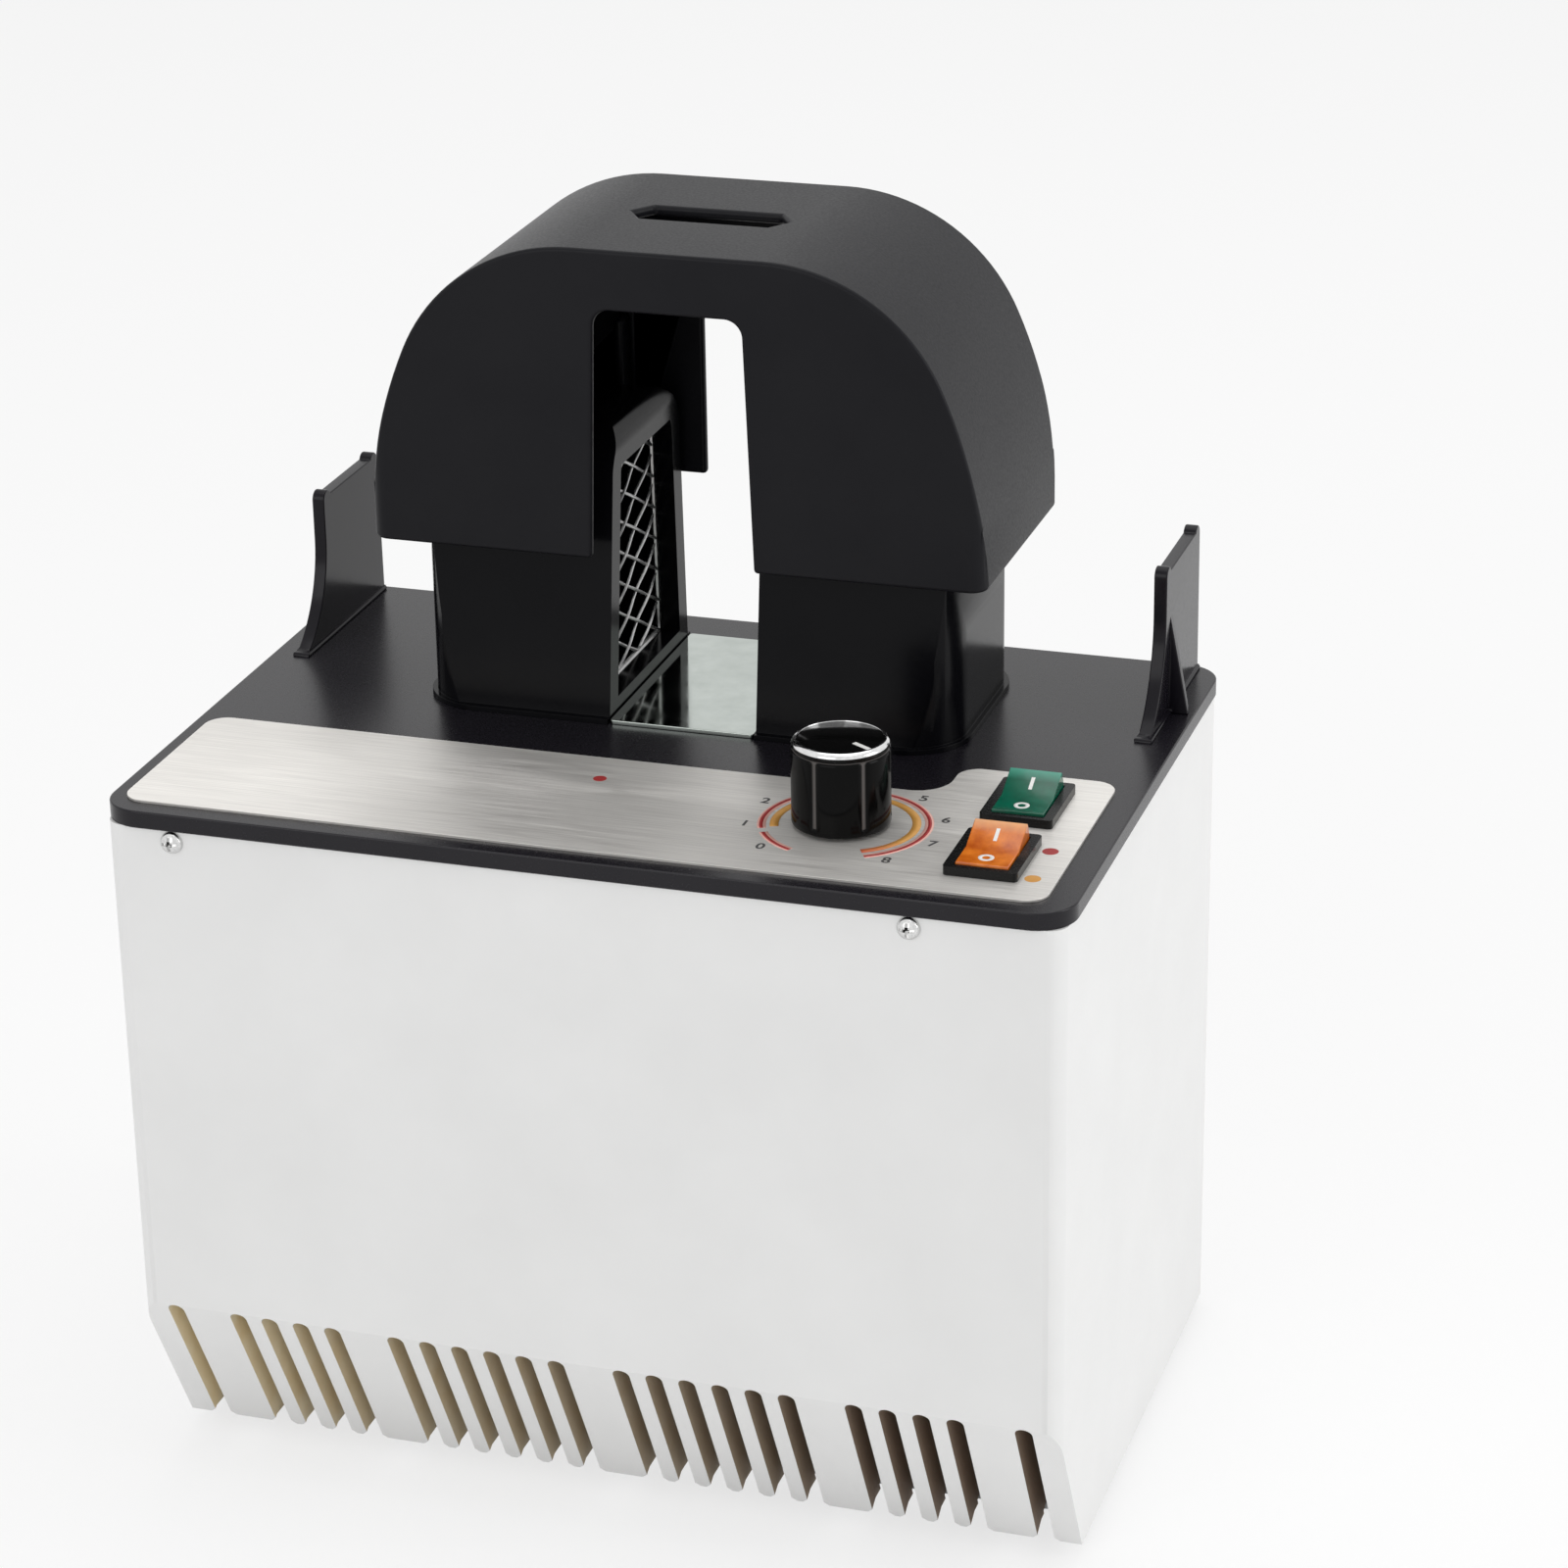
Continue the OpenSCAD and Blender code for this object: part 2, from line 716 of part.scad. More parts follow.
module control_panel() {
  color("lightgray") translate([0, 0, top_z]) linear_extrude(panel_t) difference() {
    panel_outline();
    translate([knob_x, knob_y]) circle(bush_r + fit_gap / 2);
    for (y = [heat_y, mains_y]) translate([switch_x, y]) switch_cut();
  }
}

module knob() {
  color("black") translate([knob_x, knob_y, knob_z]) difference() {
    union() {
      cylinder(h = knob_h - cap_h, r = knob_r);
      cylinder(h = 1.6, r = knob_r + 0.5);
    }
    for (i = [0 : flutes - 1]) rotate((i + 0.5) * 360 / flutes)
      translate([knob_r + 0.1, 0, 2.4]) cylinder(h = knob_h, r = 0.6);
    translate([0, 0, -over]) cylinder(h = bush_h + 1 + over, r = nut_r + 0.8);
    cylinder(h = knob_h - 4, r = shaft_r + axle_gap);
  }
}

// Bright ring with a dark middle on the knob's top
module knob_cap() {
  color("silver") translate([knob_x, knob_y, knob_z + knob_h - cap_h]) difference() {
    cylinder(h = cap_h, r = knob_r - 0.3);
    translate([0, 0, 0.6]) cylinder(h = cap_h, r = knob_r - 1.6);
  }
}

module control_shaft() {
  color("silver") translate([knob_x, knob_y, lip_z - 7])
    cylinder(h = knob_z + knob_h - 4 - lip_z + 7, r = shaft_r);
}

module potentiometer() {
  color("slategray") translate([knob_x, knob_y, lip_z]) difference() {
    union() {
      translate([0, 0, -pot_h]) cylinder(h = pot_h, r = pot_r);
      cylinder(h = cover_t + panel_t + bush_h, r = bush_r);
      for (x = [-5, 0, 5]) translate([x - 1, -pot_r - 6, -pot_h + 2]) cube([2, 8, 0.8]);
    }
    translate([0, 0, -7 - 0.2]) cylinder(h = pot_h + cover_t + bush_h + 7, r = shaft_r + shaft_gap);
  }
}

module potentiometer_nut() {
  color("silver") translate([knob_x, knob_y, panel_z]) difference() {
    cylinder(h = nut_h, r = nut_r, $fn = 6);
    translate([0, 0, -over]) cylinder(h = nut_h + 2 * over, r = bush_r + axle_gap);
  }
}

// Body of a switch: frame on the panel, open box through it and two blades below
module switch_body() {
  difference() {
    union() {
      linear_extrude(bezel_h) centred_box(bezel_w, bezel_l, 1);
      translate([-body_w / 2, -body_l / 2, -body_h]) cube([body_w, body_l, body_h + over / 2]);
      for (y = [-5, 5]) translate([-3.1, y - 0.4, -body_h - 8]) cube([6.2, 0.8, 9]);
    }
    translate([-open_w / 2, -open_l / 2, -body_h / 2 - 2]) cube([open_w, open_l, body_h + 2]);
    translate([0, 0, pivot_z - panel_z]) rotate([0, 90, 0])
      cylinder(h = body_w + 0.1, r = pin_r + shaft_gap, center = true);
  }
}

// Rocker with its front end pressed: a V-topped block whose ends are round about the pivot
module rocker() {
  top = 2;
  end = rocker_r + 0.2;
  rotate([rock, 0, 0]) {
    along_x(-rocker_w / 2, rocker_w / 2) intersection() {
      circle(rocker_r, $fn = 96);
      polygon([[-end, -4.5], [end, -4.5], [end, top + end * tan(rock)], [0, top],
        [-end, top + end * tan(rock)]]);
    }
    rotate([0, 90, 0]) cylinder(h = body_w - 0.2, r = pin_r, center = true);
  }
}

module mains_switch() { color("black") translate([switch_x, mains_y, panel_z]) switch_body(); }
module heat_switch() { color("black") translate([switch_x, heat_y, panel_z]) switch_body(); }
module mains_rocker() { color("seagreen") translate([switch_x, mains_y, pivot_z]) rocker(); }
module heat_rocker() { color("darkorange") translate([switch_x, heat_y, pivot_z]) rocker(); }

// ---- Fasteners ----

module front_cover_screws() {
  color("silver") for (x = cover_screw_x)
    translate([x, -side_y, screw_z]) rotate([-90, 0, 0]) pan_screw(cover_screw_l);
}

module back_cover_screws() {
  color("silver") for (x = cover_screw_x)
    translate([x, side_y, screw_z]) rotate([90, 0, 0]) pan_screw(cover_screw_l);
}

module duct_screws() {
  color("silver") for (s = [-1, 1]) for (p = duct_screws_at)
    translate([s * p[0], p[1], lip_z]) pan_screw(duct_screw_l);
}

// ---- Base ----

module base_plate() {
  vent_y0 = base_front + 10;
  color("silver") translate([0, 0, base_z]) difference() {
    linear_extrude(base_t) round_box([-in_x + 0.4, base_front], [in_x - 0.4, in_y - 0.4], 1);
    for (i = [-5 : 5]) translate([i * 9, 0, -over]) linear_extrude(base_t + 2 * over)
      round_box([-2.2, vent_y0], [2.2, vent_y0 + 32], 2.15);
    for (p = boss_places) translate([p[0], p[1], -over])
      cylinder(h = base_t + 2 * over, r = screw_hole_r);
    for (p = foot_places) translate([p[0], p[1], -over])
      cylinder(h = base_t + 2 * over, r = screw_hole_r);
  }
}

module base_screws() {
  color("silver") for (p = boss_places) translate([p[0], p[1], base_z]) pan_screw(12);
}

module feet() {
  color("#222222") for (p = foot_places) translate([p[0], p[1], 0]) difference() {
    cylinder(h = base_z, r = foot_r);
    translate([0, 0, -over]) cylinder(h = base_z - 1.5 + over, r = head_r + 0.6);
    cylinder(h = base_z + over, r = screw_hole_r);
  }
}

// Foot screws with their nuts on the base plate
module foot_screws() {
  color("silver") for (p = foot_places) translate([p[0], p[1], base_z - 1.5]) {
    pan_screw(6.5);
    translate([0, 0, base_t + 1.5]) cylinder(h = 2.4, r = 3.1, $fn = 6);
  }
}

// ---- Blower ----

module scroll_outline(t) {
  translate([blower_x, blower_z]) circle(scroll_r - t, $fn = 96);
  translate([outlet_x0 + t, blower_z]) square([outlet_w - 2 * t, air_box_z - blower_z]);
}

module blower_housing() {
  color("gainsboro") difference() {
    along_y(blower_y, scroll_back) scroll_outline(0);
    along_y(blower_y + scroll_wall, scroll_back - scroll_wall) {
      scroll_outline(scroll_wall);
      translate([outlet_x0 + scroll_wall, air_box_z - over])
        square([outlet_w - 2 * scroll_wall, 2 * over]);
    }
    translate([blower_x, blower_y + scroll_wall + over, blower_z]) rotate([90, 0, 0])
      cylinder(h = scroll_wall + 2 * over, r = wheel_r - 8);
    translate([blower_x, scroll_back + over, blower_z]) rotate([90, 0, 0])
      cylinder(h = scroll_wall + 2 * over, r = axle_r + 3);
    motor_screw_places() cylinder(h = 3 * scroll_wall, r = screw_hole_r, center = true);
  }
}

// Three places round the motor, each with its Z axis pointing to the back
module motor_screw_places() {
  for (a = [90, 210, 330])
    translate([blower_x + 14 * cos(a), scroll_back - scroll_wall, blower_z + 14 * sin(a)])
      rotate([-90, 0, 0]) children();
}

module blower_bracket() {
  leg = 2.5;
  half = 30;
  color("silver") difference() {
    translate([blower_x - half, blower_y + 8, floor_z])
      cube([2 * half, scroll_d - 16, blower_z - floor_z]);
    translate([blower_x - half + leg, blower_y, floor_z + 2])
      cube([2 * half - 2 * leg, scroll_d, blower_z]);
    translate([blower_x, blower_y + scroll_d / 2, blower_z]) rotate([90, 0, 0])
      cylinder(h = scroll_d, r = scroll_r + shaft_gap, center = true, $fn = 96);
  }
}

// Forward-curved wheel: back plate, front ring, hub and blades
module blower_wheel() {
  blade_l = 7;
  color("dimgray") translate([blower_x, wheel_y, blower_z]) rotate([-90, 0, 0]) difference() {
    union() {
      translate([0, 0, wheel_w - 1.5]) cylinder(h = 1.5, r = wheel_r);
      difference() {
        cylinder(h = 1.5, r = wheel_r);
        translate([0, 0, -over]) cylinder(h = 1.5 + 2 * over, r = wheel_r - blade_l + 1);
      }
      translate([0, 0, wheel_w - 14]) cylinder(h = 14, r = axle_r + 4);
      for (i = [0 : blades - 1]) rotate(i * 360 / blades)
        translate([wheel_r - 3.6, 0, wheel_w / 2]) rotate(-28)
          cube([blade_l - 1, 0.9, wheel_w - 1], center = true);
    }
    translate([0, 0, -over]) cylinder(h = wheel_w + 2 * over, r = axle_r + axle_gap);
  }
}

module motor() {
  color("silver") translate([blower_x, scroll_back, blower_z]) rotate([-90, 0, 0]) difference() {
    union() {
      cylinder(h = motor_l - 2, r = motor_r);
      cylinder(h = motor_l, r = 7);
    }
    translate([0, 0, -over]) cylinder(h = motor_l + 2 * over, r = axle_r + shaft_gap);
    for (a = [90, 210, 330]) rotate(-a) translate([14, 0, -over])
      cylinder(h = 7 + over, r = screw_r + shaft_gap);
  }
}

module motor_shaft() {
  color("gray") translate([blower_x, wheel_y + wheel_w - 16, blower_z]) rotate([-90, 0, 0])
    cylinder(h = scroll_back + motor_l - 1 - (wheel_y + wheel_w - 16), r = axle_r);
}

module motor_screws() {
  color("silver") motor_screw_places() pan_screw(8);
}

// ---- Air box and heaters ----

module air_box() {
  color("silver") difference() {
    translate([-box_x, box_front, air_box_z]) cube([2 * box_x, box_back - box_front, air_box_h]);
    translate([-box_x + box_wall, box_front + box_wall, air_box_z + box_wall])
      cube([2 * (box_x - box_wall), box_back - box_front - 2 * box_wall, air_box_h]);
    translate([outlet_x0 + scroll_wall, blower_y + scroll_wall, air_box_z - over])
      cube([outlet_w - 2 * scroll_wall, scroll_d - 2 * scroll_wall, box_wall + 2 * over]);
    translate([0, box_front - over, air_box_z + air_box_h / 2]) rotate([-90, 0, 0])
      cylinder(h = box_wall + 2 * over, r = 4);
  }
}

// Crossed sheets that carry a heater coil
module heater_frame() {
  color("wheat") translate([heater_x, heater_y, air_box_z + box_wall]) for (a = [0, 90])
    rotate(a) translate([-heater_half, -0.5, 0]) cube([2 * heater_half, 1, heater_h]);
}

module right_heater_frame() { heater_frame(); }
module left_heater_frame() { scale_x(-1) heater_frame(); }

// One ring of points round the wire at turn u of the coil
function coil_ring(u, rise, sides) = [for (j = [0 : sides - 1])
  let (a = 360 * u, b = 360 * j / sides, r = coil_r + wire_r * cos(b))
  [r * cos(a), r * sin(a), 4 + rise * u + wire_r * sin(b)]];

module heater_coil() {
  sides = 6;
  steps = 24 * coil_turns;
  rise = (heater_h - 8) / coil_turns;
  points = [for (i = [0 : steps]) each coil_ring(i / 24, rise, sides)];
  sides_faces = [for (i = [0 : steps - 1]) for (j = [0 : sides - 1])
    let (a = i * sides + j, b = i * sides + (j + 1) % sides)
    each [[a, a + sides, b], [b, a + sides, b + sides]]];
  ends = [[for (j = [0 : sides - 1]) j], [for (j = [sides - 1 : -1 : 0]) steps * sides + j]];
  color("goldenrod") translate([heater_x, heater_y, air_box_z + box_wall])
    polyhedron(points, concat(sides_faces, ends));
}

module right_heater_coil() { heater_coil(); }
module left_heater_coil() { scale_x(-1) heater_coil(); }

// Bimetal cut-out on the air box's front wall
module thermal_cutout() {
  color("dimgray") translate([0, box_front, air_box_z + air_box_h / 2]) rotate([90, 0, 0]) {
    cylinder(h = 1.2, r = 8);
    cylinder(h = 7, r = 6.5);
    for (x = [-4, 4]) translate([x - 2, -0.4, 6]) cube([4, 0.8, 8]);
  }
}

// ---- Board and wiring points ----

module control_board() {
  color("seagreen") translate([board_x, board_y, board_z]) difference() {
    translate([-board_w / 2, -board_l / 2, 0]) cube([board_w, board_l, board_t]);
    board_corners() translate([0, 0, -over]) cylinder(h = board_t + 2 * over, r = screw_hole_r);
  }
}

module board_corners() {
  for (x = [-1, 1]) for (y = [-1, 1])
    translate([x * (board_w / 2 - 4), y * (board_l / 2 - 4), 0]) children();
}

// Standoffs with a peg through the board
module board_standoffs() {
  color("white") translate([board_x, board_y, floor_z]) board_corners() {
    cylinder(h = board_z - floor_z, r = 3);
    cylinder(h = board_z - floor_z + board_t + 1.5, r = screw_r);
  }
}

module heat_sink() {
  color("silver") translate([board_x + 8, board_y - 7, board_z + board_t]) {
    cube([sink_w, sink_l, 2]);
    for (i = [0 : 3]) translate([i * (sink_w - fin_t) / 3, 0, 0]) cube([fin_t, sink_l, sink_h]);
  }
}

module capacitor() {
  color("gold") translate([board_x - film_w, board_y - 8, board_z + board_t])
    cube([film_w, film_l, film_h]);
}

module terminal_block() {
  color("ivory") translate([block_x, block_y, floor_z]) difference() {
    cube([block_w, block_l, block_h]);
    for (i = [0 : 2]) translate([(i + 0.5) * block_w / 3, block_l / 2, block_h * 0.3]) {
      cylinder(h = block_h, r = 2);
      rotate([90, 0, 0]) cylinder(h = block_l + 2 * over, r = 1.8, center = true);
    }
  }
}

// ---- Mains inlet and fuse ----

module inlet_cut() {
  translate([inlet_x, side_y - wall / 2, case_z + inlet_h]) {
    cube([inlet_w + 2 * fit_gap, wall + 2 * over, inlet_t + 2 * fit_gap], center = true);
    for (s = [-1, 1]) translate([s * inlet_ear, 0, 0]) rotate([90, 0, 0])
      cylinder(h = wall + 2 * over, r = screw_r + shaft_gap, center = true);
  }
}

// Socket outline with its two cut corners
module socket_outline() {
  w = socket_w / 2;
  h = socket_h / 2;
  cut = 4.3;
  polygon([[-w, -h], [w, -h], [w, h - cut], [w - cut, h], [cut - w, h], [-w, h - cut]]);
}

module mains_inlet() {
  color("#222222") translate([inlet_x, side_y, case_z + inlet_h]) difference() {
    union() {
      along_y(0, head_h) centred_box(plate_w, plate_h, 2.5);
      translate([-inlet_w / 2, -body_deep, -inlet_t / 2]) cube([inlet_w, body_deep + over, inlet_t]);
    }
    along_y(-socket_deep, head_h + over) socket_outline();
    for (s = [-1, 1]) translate([s * inlet_ear, head_h, 0]) rotate([90, 0, 0]) {
      translate([0, 0, -over]) cylinder(h = over + head_h + over, r = screw_r + shaft_gap);
      cylinder(h = 1.5, r1 = screw_r + 1.5, r2 = screw_r);
    }
  }
}

module inlet_pins() {
  color("silver") translate([inlet_x, side_y, case_z + inlet_h])
    for (p = [[-7, -1.5, 10], [7, -1.5, 10], [0, 2.5, 11.5]])
      translate([p[0] - 1, -socket_deep, p[1] - 2]) cube([2, p[2], 4]);
}

module inlet_screws() {
  color("silver") for (s = [-1, 1])
    translate([inlet_x + s * inlet_ear, side_y + head_h, case_z + inlet_h]) rotate([90, 0, 0]) {
      cylinder(h = 1.5, r1 = screw_r + 1.45, r2 = screw_r - 0.05);
      cylinder(h = 9, r = screw_r);
    }
}

module fuse_holder() {
  color("#222222") translate([fuse_x, side_y, case_z + inlet_h]) rotate([90, 0, 0]) {
    difference() {
      translate([0, 0, -head_h]) cylinder(h = head_h, r = 8);
      translate([-5, -0.7, -head_h - over]) cube([10, 1.4, over + 1]);
    }
    cylinder(h = 26, r = fuse_r);
    translate([0, 0, wall]) cylinder(h = 3, r = 8.5, $fn = 6);
  }
}

casing();
cover();
left_side_rest();
right_side_rest();
left_duct();
right_duct();
left_grille();
right_grille();
floor_plate();
hood();
control_panel();
knob();
knob_cap();
control_shaft();
potentiometer();
potentiometer_nut();
mains_switch();
mains_rocker();
heat_switch();
heat_rocker();
front_cover_screws();
back_cover_screws();
duct_screws();
base_plate();
base_screws();
feet();
foot_screws();
blower_housing();
blower_bracket();
blower_wheel();
motor();
motor_shaft();
motor_screws();
air_box();
left_heater_frame();
right_heater_frame();
left_heater_coil();
right_heater_coil();
thermal_cutout();
control_board();
board_standoffs();
heat_sink();
capacitor();
terminal_block();
mains_inlet();
inlet_pins();
inlet_screws();
fuse_holder();
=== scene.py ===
# %% [markdown]
# # A hot-air frame warmer, dressed in Blender
# This counter device blows hot air through two facing ducts, to soften spectacle frames before they
# are bent. A white casing holds the blower, a black cover closes it, and a hood slides up over the ducts.
# The CAD model fixes every size, so this file never moves a CAD solid. It gives each one a finish, and
# swaps the visible ones for copies with rounded edges and the small things the solids leave out.
# All lengths are in metres: X to the right, Y to the back, Z up, from the middle of the base.

# %% Load the CAD frame
import json
import math

import bmesh
import bpy
from mathutils import Matrix, Vector
from mathutils.bvhtree import BVHTree

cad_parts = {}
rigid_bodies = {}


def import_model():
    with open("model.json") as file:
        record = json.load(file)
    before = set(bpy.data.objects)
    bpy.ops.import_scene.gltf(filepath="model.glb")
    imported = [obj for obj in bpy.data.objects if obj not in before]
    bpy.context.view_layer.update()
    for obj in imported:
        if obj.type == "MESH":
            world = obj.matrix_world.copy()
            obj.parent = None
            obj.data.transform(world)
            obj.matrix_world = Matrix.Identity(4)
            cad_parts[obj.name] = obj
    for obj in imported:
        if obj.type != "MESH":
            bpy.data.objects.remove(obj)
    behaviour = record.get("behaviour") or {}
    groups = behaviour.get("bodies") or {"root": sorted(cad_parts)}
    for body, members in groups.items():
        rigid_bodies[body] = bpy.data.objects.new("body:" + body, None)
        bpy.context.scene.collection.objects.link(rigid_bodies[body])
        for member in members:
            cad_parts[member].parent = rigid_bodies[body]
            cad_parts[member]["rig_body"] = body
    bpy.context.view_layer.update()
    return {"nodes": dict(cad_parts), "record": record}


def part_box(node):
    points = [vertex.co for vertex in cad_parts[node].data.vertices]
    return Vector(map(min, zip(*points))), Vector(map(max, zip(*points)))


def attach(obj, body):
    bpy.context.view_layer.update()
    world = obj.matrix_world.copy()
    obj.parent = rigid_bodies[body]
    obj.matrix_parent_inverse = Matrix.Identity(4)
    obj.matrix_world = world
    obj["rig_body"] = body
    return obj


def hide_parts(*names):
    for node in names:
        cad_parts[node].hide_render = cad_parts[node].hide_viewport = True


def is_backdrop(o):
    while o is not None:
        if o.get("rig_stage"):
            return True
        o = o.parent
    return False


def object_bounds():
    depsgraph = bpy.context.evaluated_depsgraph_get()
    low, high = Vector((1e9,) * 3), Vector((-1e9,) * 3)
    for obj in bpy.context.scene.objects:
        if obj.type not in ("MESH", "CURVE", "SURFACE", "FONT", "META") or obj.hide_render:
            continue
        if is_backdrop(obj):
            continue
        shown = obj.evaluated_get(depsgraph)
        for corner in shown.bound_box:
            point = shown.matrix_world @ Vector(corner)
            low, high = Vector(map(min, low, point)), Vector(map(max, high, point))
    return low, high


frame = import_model()
MM = 0.001
scene = bpy.context.scene

# %% [markdown]
# ## Heights to build on
# The pieces below sit on the cover, the control panel or the ducts. Reading those levels from the CAD
# boxes keeps the pieces in place when the part's sizes change, which typed-in numbers would not do.

# %% Levels and places taken from the CAD boxes
top_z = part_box("cover")[1].z
panel_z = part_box("control_panel")[1].z
case_low, case_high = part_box("casing")
knob_low, knob_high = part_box("knob")
knob_x, knob_y = (knob_low.x + knob_high.x) / 2, (knob_low.y + knob_high.y) / 2
duct_low, duct_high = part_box("right_duct")
print("cover top", round(top_z / MM, 1), "panel", round(panel_z / MM, 1), "mm")

# %% [markdown]
# ## Nodes for materials and for geometry
# A material and a geometry tree are both node trees, so one small helper can add a node to either and
# wire its inputs. A value that is the same all over a surface is typed on the shader's own socket, and
# noise or a ramp along an axis drives what changes over it. All of them read the object's own
# coordinates, so a pattern moves with its piece.


# %% Add a node and wire it
def add(tree, kind, inputs=None, **settings):
    node = tree.nodes.new(kind)
    for key, value in settings.items():
        setattr(node, key, value)
    for key, value in (inputs or {}).items():
        socket = node.inputs[key]
        if isinstance(value, bpy.types.NodeSocket):
            tree.links.new(value, socket)
        else:
            socket.default_value = value
    return node


# %% A finish: a principled shader with plain values, and the tree that it lives in
def new_finish(name, **values):
    finish = bpy.data.materials.new(name)
    finish.use_nodes = True
    shader = finish.node_tree.nodes["Principled BSDF"]
    for key, value in values.items():
        shader.inputs[key.replace("_", " ")].default_value = value
    return finish, finish.node_tree, shader


# %% Noise in the object's own millimetres, and what it drives
def grain(tree, size_mm, stretch=(1, 1, 1), detail=3.0):
    place = add(tree, "ShaderNodeTexCoord").outputs["Object"]
    mapped = add(tree, "ShaderNodeMapping", {"Vector": place, "Scale": stretch})
    noise = add(tree, "ShaderNodeTexNoise", {
        "Vector": mapped.outputs["Vector"], "Scale": 1000 / size_mm, "Detail": detail, "Roughness": 0.55})
    return noise.outputs["Fac"]


def spread(tree, value, low, high, start=0.3, end=0.7):
    return add(tree, "ShaderNodeMapRange", {
        "Value": value, "From Min": start, "From Max": end, "To Min": low, "To Max": high}).outputs["Result"]


def two_tones(tree, value, dark, light):
    mix = add(tree, "ShaderNodeMix", data_type="RGBA")
    tree.links.new(value, mix.inputs[0])
    mix.inputs[6].default_value = (*dark, 1)
    mix.inputs[7].default_value = (*light, 1)
    return mix.outputs[2]


def ramp(tree, axis, start_mm, end_mm):
    place = add(tree, "ShaderNodeTexCoord").outputs["Object"]
    along = add(tree, "ShaderNodeSeparateXYZ", {0: place}).outputs[axis]
    return spread(tree, along, 0, 1, start_mm * MM, end_mm * MM)


def toward(tree, shader, share, colour):
    mix = add(tree, "ShaderNodeMix", data_type="RGBA")
    tree.links.new(share, mix.inputs[0])
    tree.links.new(shader.inputs["Base Color"].links[0].from_socket, mix.inputs[6])
    mix.inputs[7].default_value = (*colour, 1)
    tree.links.new(mix.outputs[2], shader.inputs["Base Color"])


def bump(tree, height, depth_mm):
    return add(tree, "ShaderNodeBump", {
        "Height": height, "Distance": depth_mm * MM, "Strength": 1.0}).outputs["Normal"]


# %% [markdown]
# ## Moulded and painted surfaces
# Most of the object is plastic or paint, and each kind differs in tone, gloss and the size of its grain.
# One function makes them all from two close tones, a range of gloss and a fine bump. A flat colour would
# look like a toy, and a scanned texture isn't needed at this size. The blacks on top have a low specular
# level, so they stay dark from the front and catch the light only at a flat angle.


# %% The finishes of plastic, paint and rubber
def grained(name, dark, light, gloss, grain_mm, depth_mm, blotch_mm=35, **values):
    finish, tree, shader = new_finish(name, **values)
    fine = grain(tree, grain_mm)
    broad = spread(tree, grain(tree, blotch_mm, detail=4), 0, 1)
    tree.links.new(two_tones(tree, broad, dark, light), shader.inputs["Base Color"])
    tree.links.new(spread(tree, fine, gloss[0], gloss[1]), shader.inputs["Roughness"])
    tree.links.new(bump(tree, fine, depth_mm), shader.inputs["Normal"])
    return finish


case_white = grained("case_white", (0.80, 0.80, 0.795), (0.835, 0.835, 0.83), (0.32, 0.42), 1.1, 0.006,
                     Specular_IOR_Level=0.35)
cover_black = grained("cover_black", (0.007, 0.006, 0.009), (0.011, 0.010, 0.013), (0.25, 0.28), 1.2, 0.001,
                      Specular_IOR_Level=0.28)
rest_black = grained("rest_black", (0.006, 0.005, 0.008), (0.010, 0.009, 0.012), (0.16, 0.24), 0.8, 0.003,
                     Specular_IOR_Level=0.16)
hood_black = grained("hood_black", (0.006, 0.006, 0.008), (0.009, 0.009, 0.011), (0.34, 0.44), 0.6, 0.01,
                     Specular_IOR_Level=0.13)
duct_black = grained("duct_black", (0.002, 0.002, 0.003), (0.004, 0.004, 0.005), (0.15, 0.22), 0.8, 0.003,
                     Specular_IOR_Level=0.1)
knob_black = grained("knob_black", (0.002, 0.002, 0.002), (0.004, 0.004, 0.004), (0.08, 0.13), 0.9, 0.002,
                     Specular_IOR_Level=0.07)
switch_black = grained("switch_black", (0.005, 0.005, 0.005), (0.008, 0.008, 0.008), (0.2, 0.3), 0.5, 0.005,
                       Specular_IOR_Level=0.16)
rubber_black = grained("rubber_black", (0.014, 0.014, 0.014), (0.022, 0.021, 0.02), (0.7, 0.85), 0.6, 0.03)
print("plastic, paint and rubber ready")

# %% [markdown]
# ## Metals
# Metal shows mostly what it mirrors, so its colour is a tint and its roughness does the work. The control
# panel is brushed: noise drawn out along X turns into long scratches, in tone, gloss and height alike.
# It is lacquered as well, so it isn't wholly metallic and stays pale where it faces something dark.


# %% The finishes of metal
def metal(name, dark, light, gloss, grain_mm=1.5, depth_mm=0.004, stretch=(1, 1, 1), **values):
    finish, tree, shader = new_finish(name, **{"Metallic": 1.0, **values})
    fine = grain(tree, grain_mm, stretch, detail=4)
    tree.links.new(two_tones(tree, spread(tree, fine, 0, 1), dark, light), shader.inputs["Base Color"])
    tree.links.new(spread(tree, fine, gloss[0], gloss[1]), shader.inputs["Roughness"])
    tree.links.new(bump(tree, fine, depth_mm), shader.inputs["Normal"])
    return finish


panel_brushed = metal("panel_brushed", (0.68, 0.66, 0.63), (0.83, 0.81, 0.775), (0.4, 0.56),
                      0.35, 0.004, (0.02, 1, 1), Metallic=0.66, Anisotropic=0.4)
plate_polished = metal("plate_polished", (0.42, 0.46, 0.43), (0.5, 0.54, 0.51), (0.06, 0.13), 6, 0.002)
mesh_wire = metal("mesh_wire", (0.5, 0.5, 0.5), (0.68, 0.68, 0.67), (0.3, 0.45), 0.9)
screw_bright = metal("screw_bright", (0.6, 0.6, 0.6), (0.78, 0.78, 0.77), (0.14, 0.26), 0.7)
ring_bright = metal("ring_bright", (0.66, 0.66, 0.66), (0.8, 0.8, 0.8), (0.1, 0.18), 1.2)
steel = metal("steel", (0.42, 0.42, 0.43), (0.55, 0.55, 0.56), (0.25, 0.4))
zinc_sheet = metal("zinc_sheet", (0.45, 0.46, 0.47), (0.62, 0.63, 0.64), (0.3, 0.5), 9, 0.01)
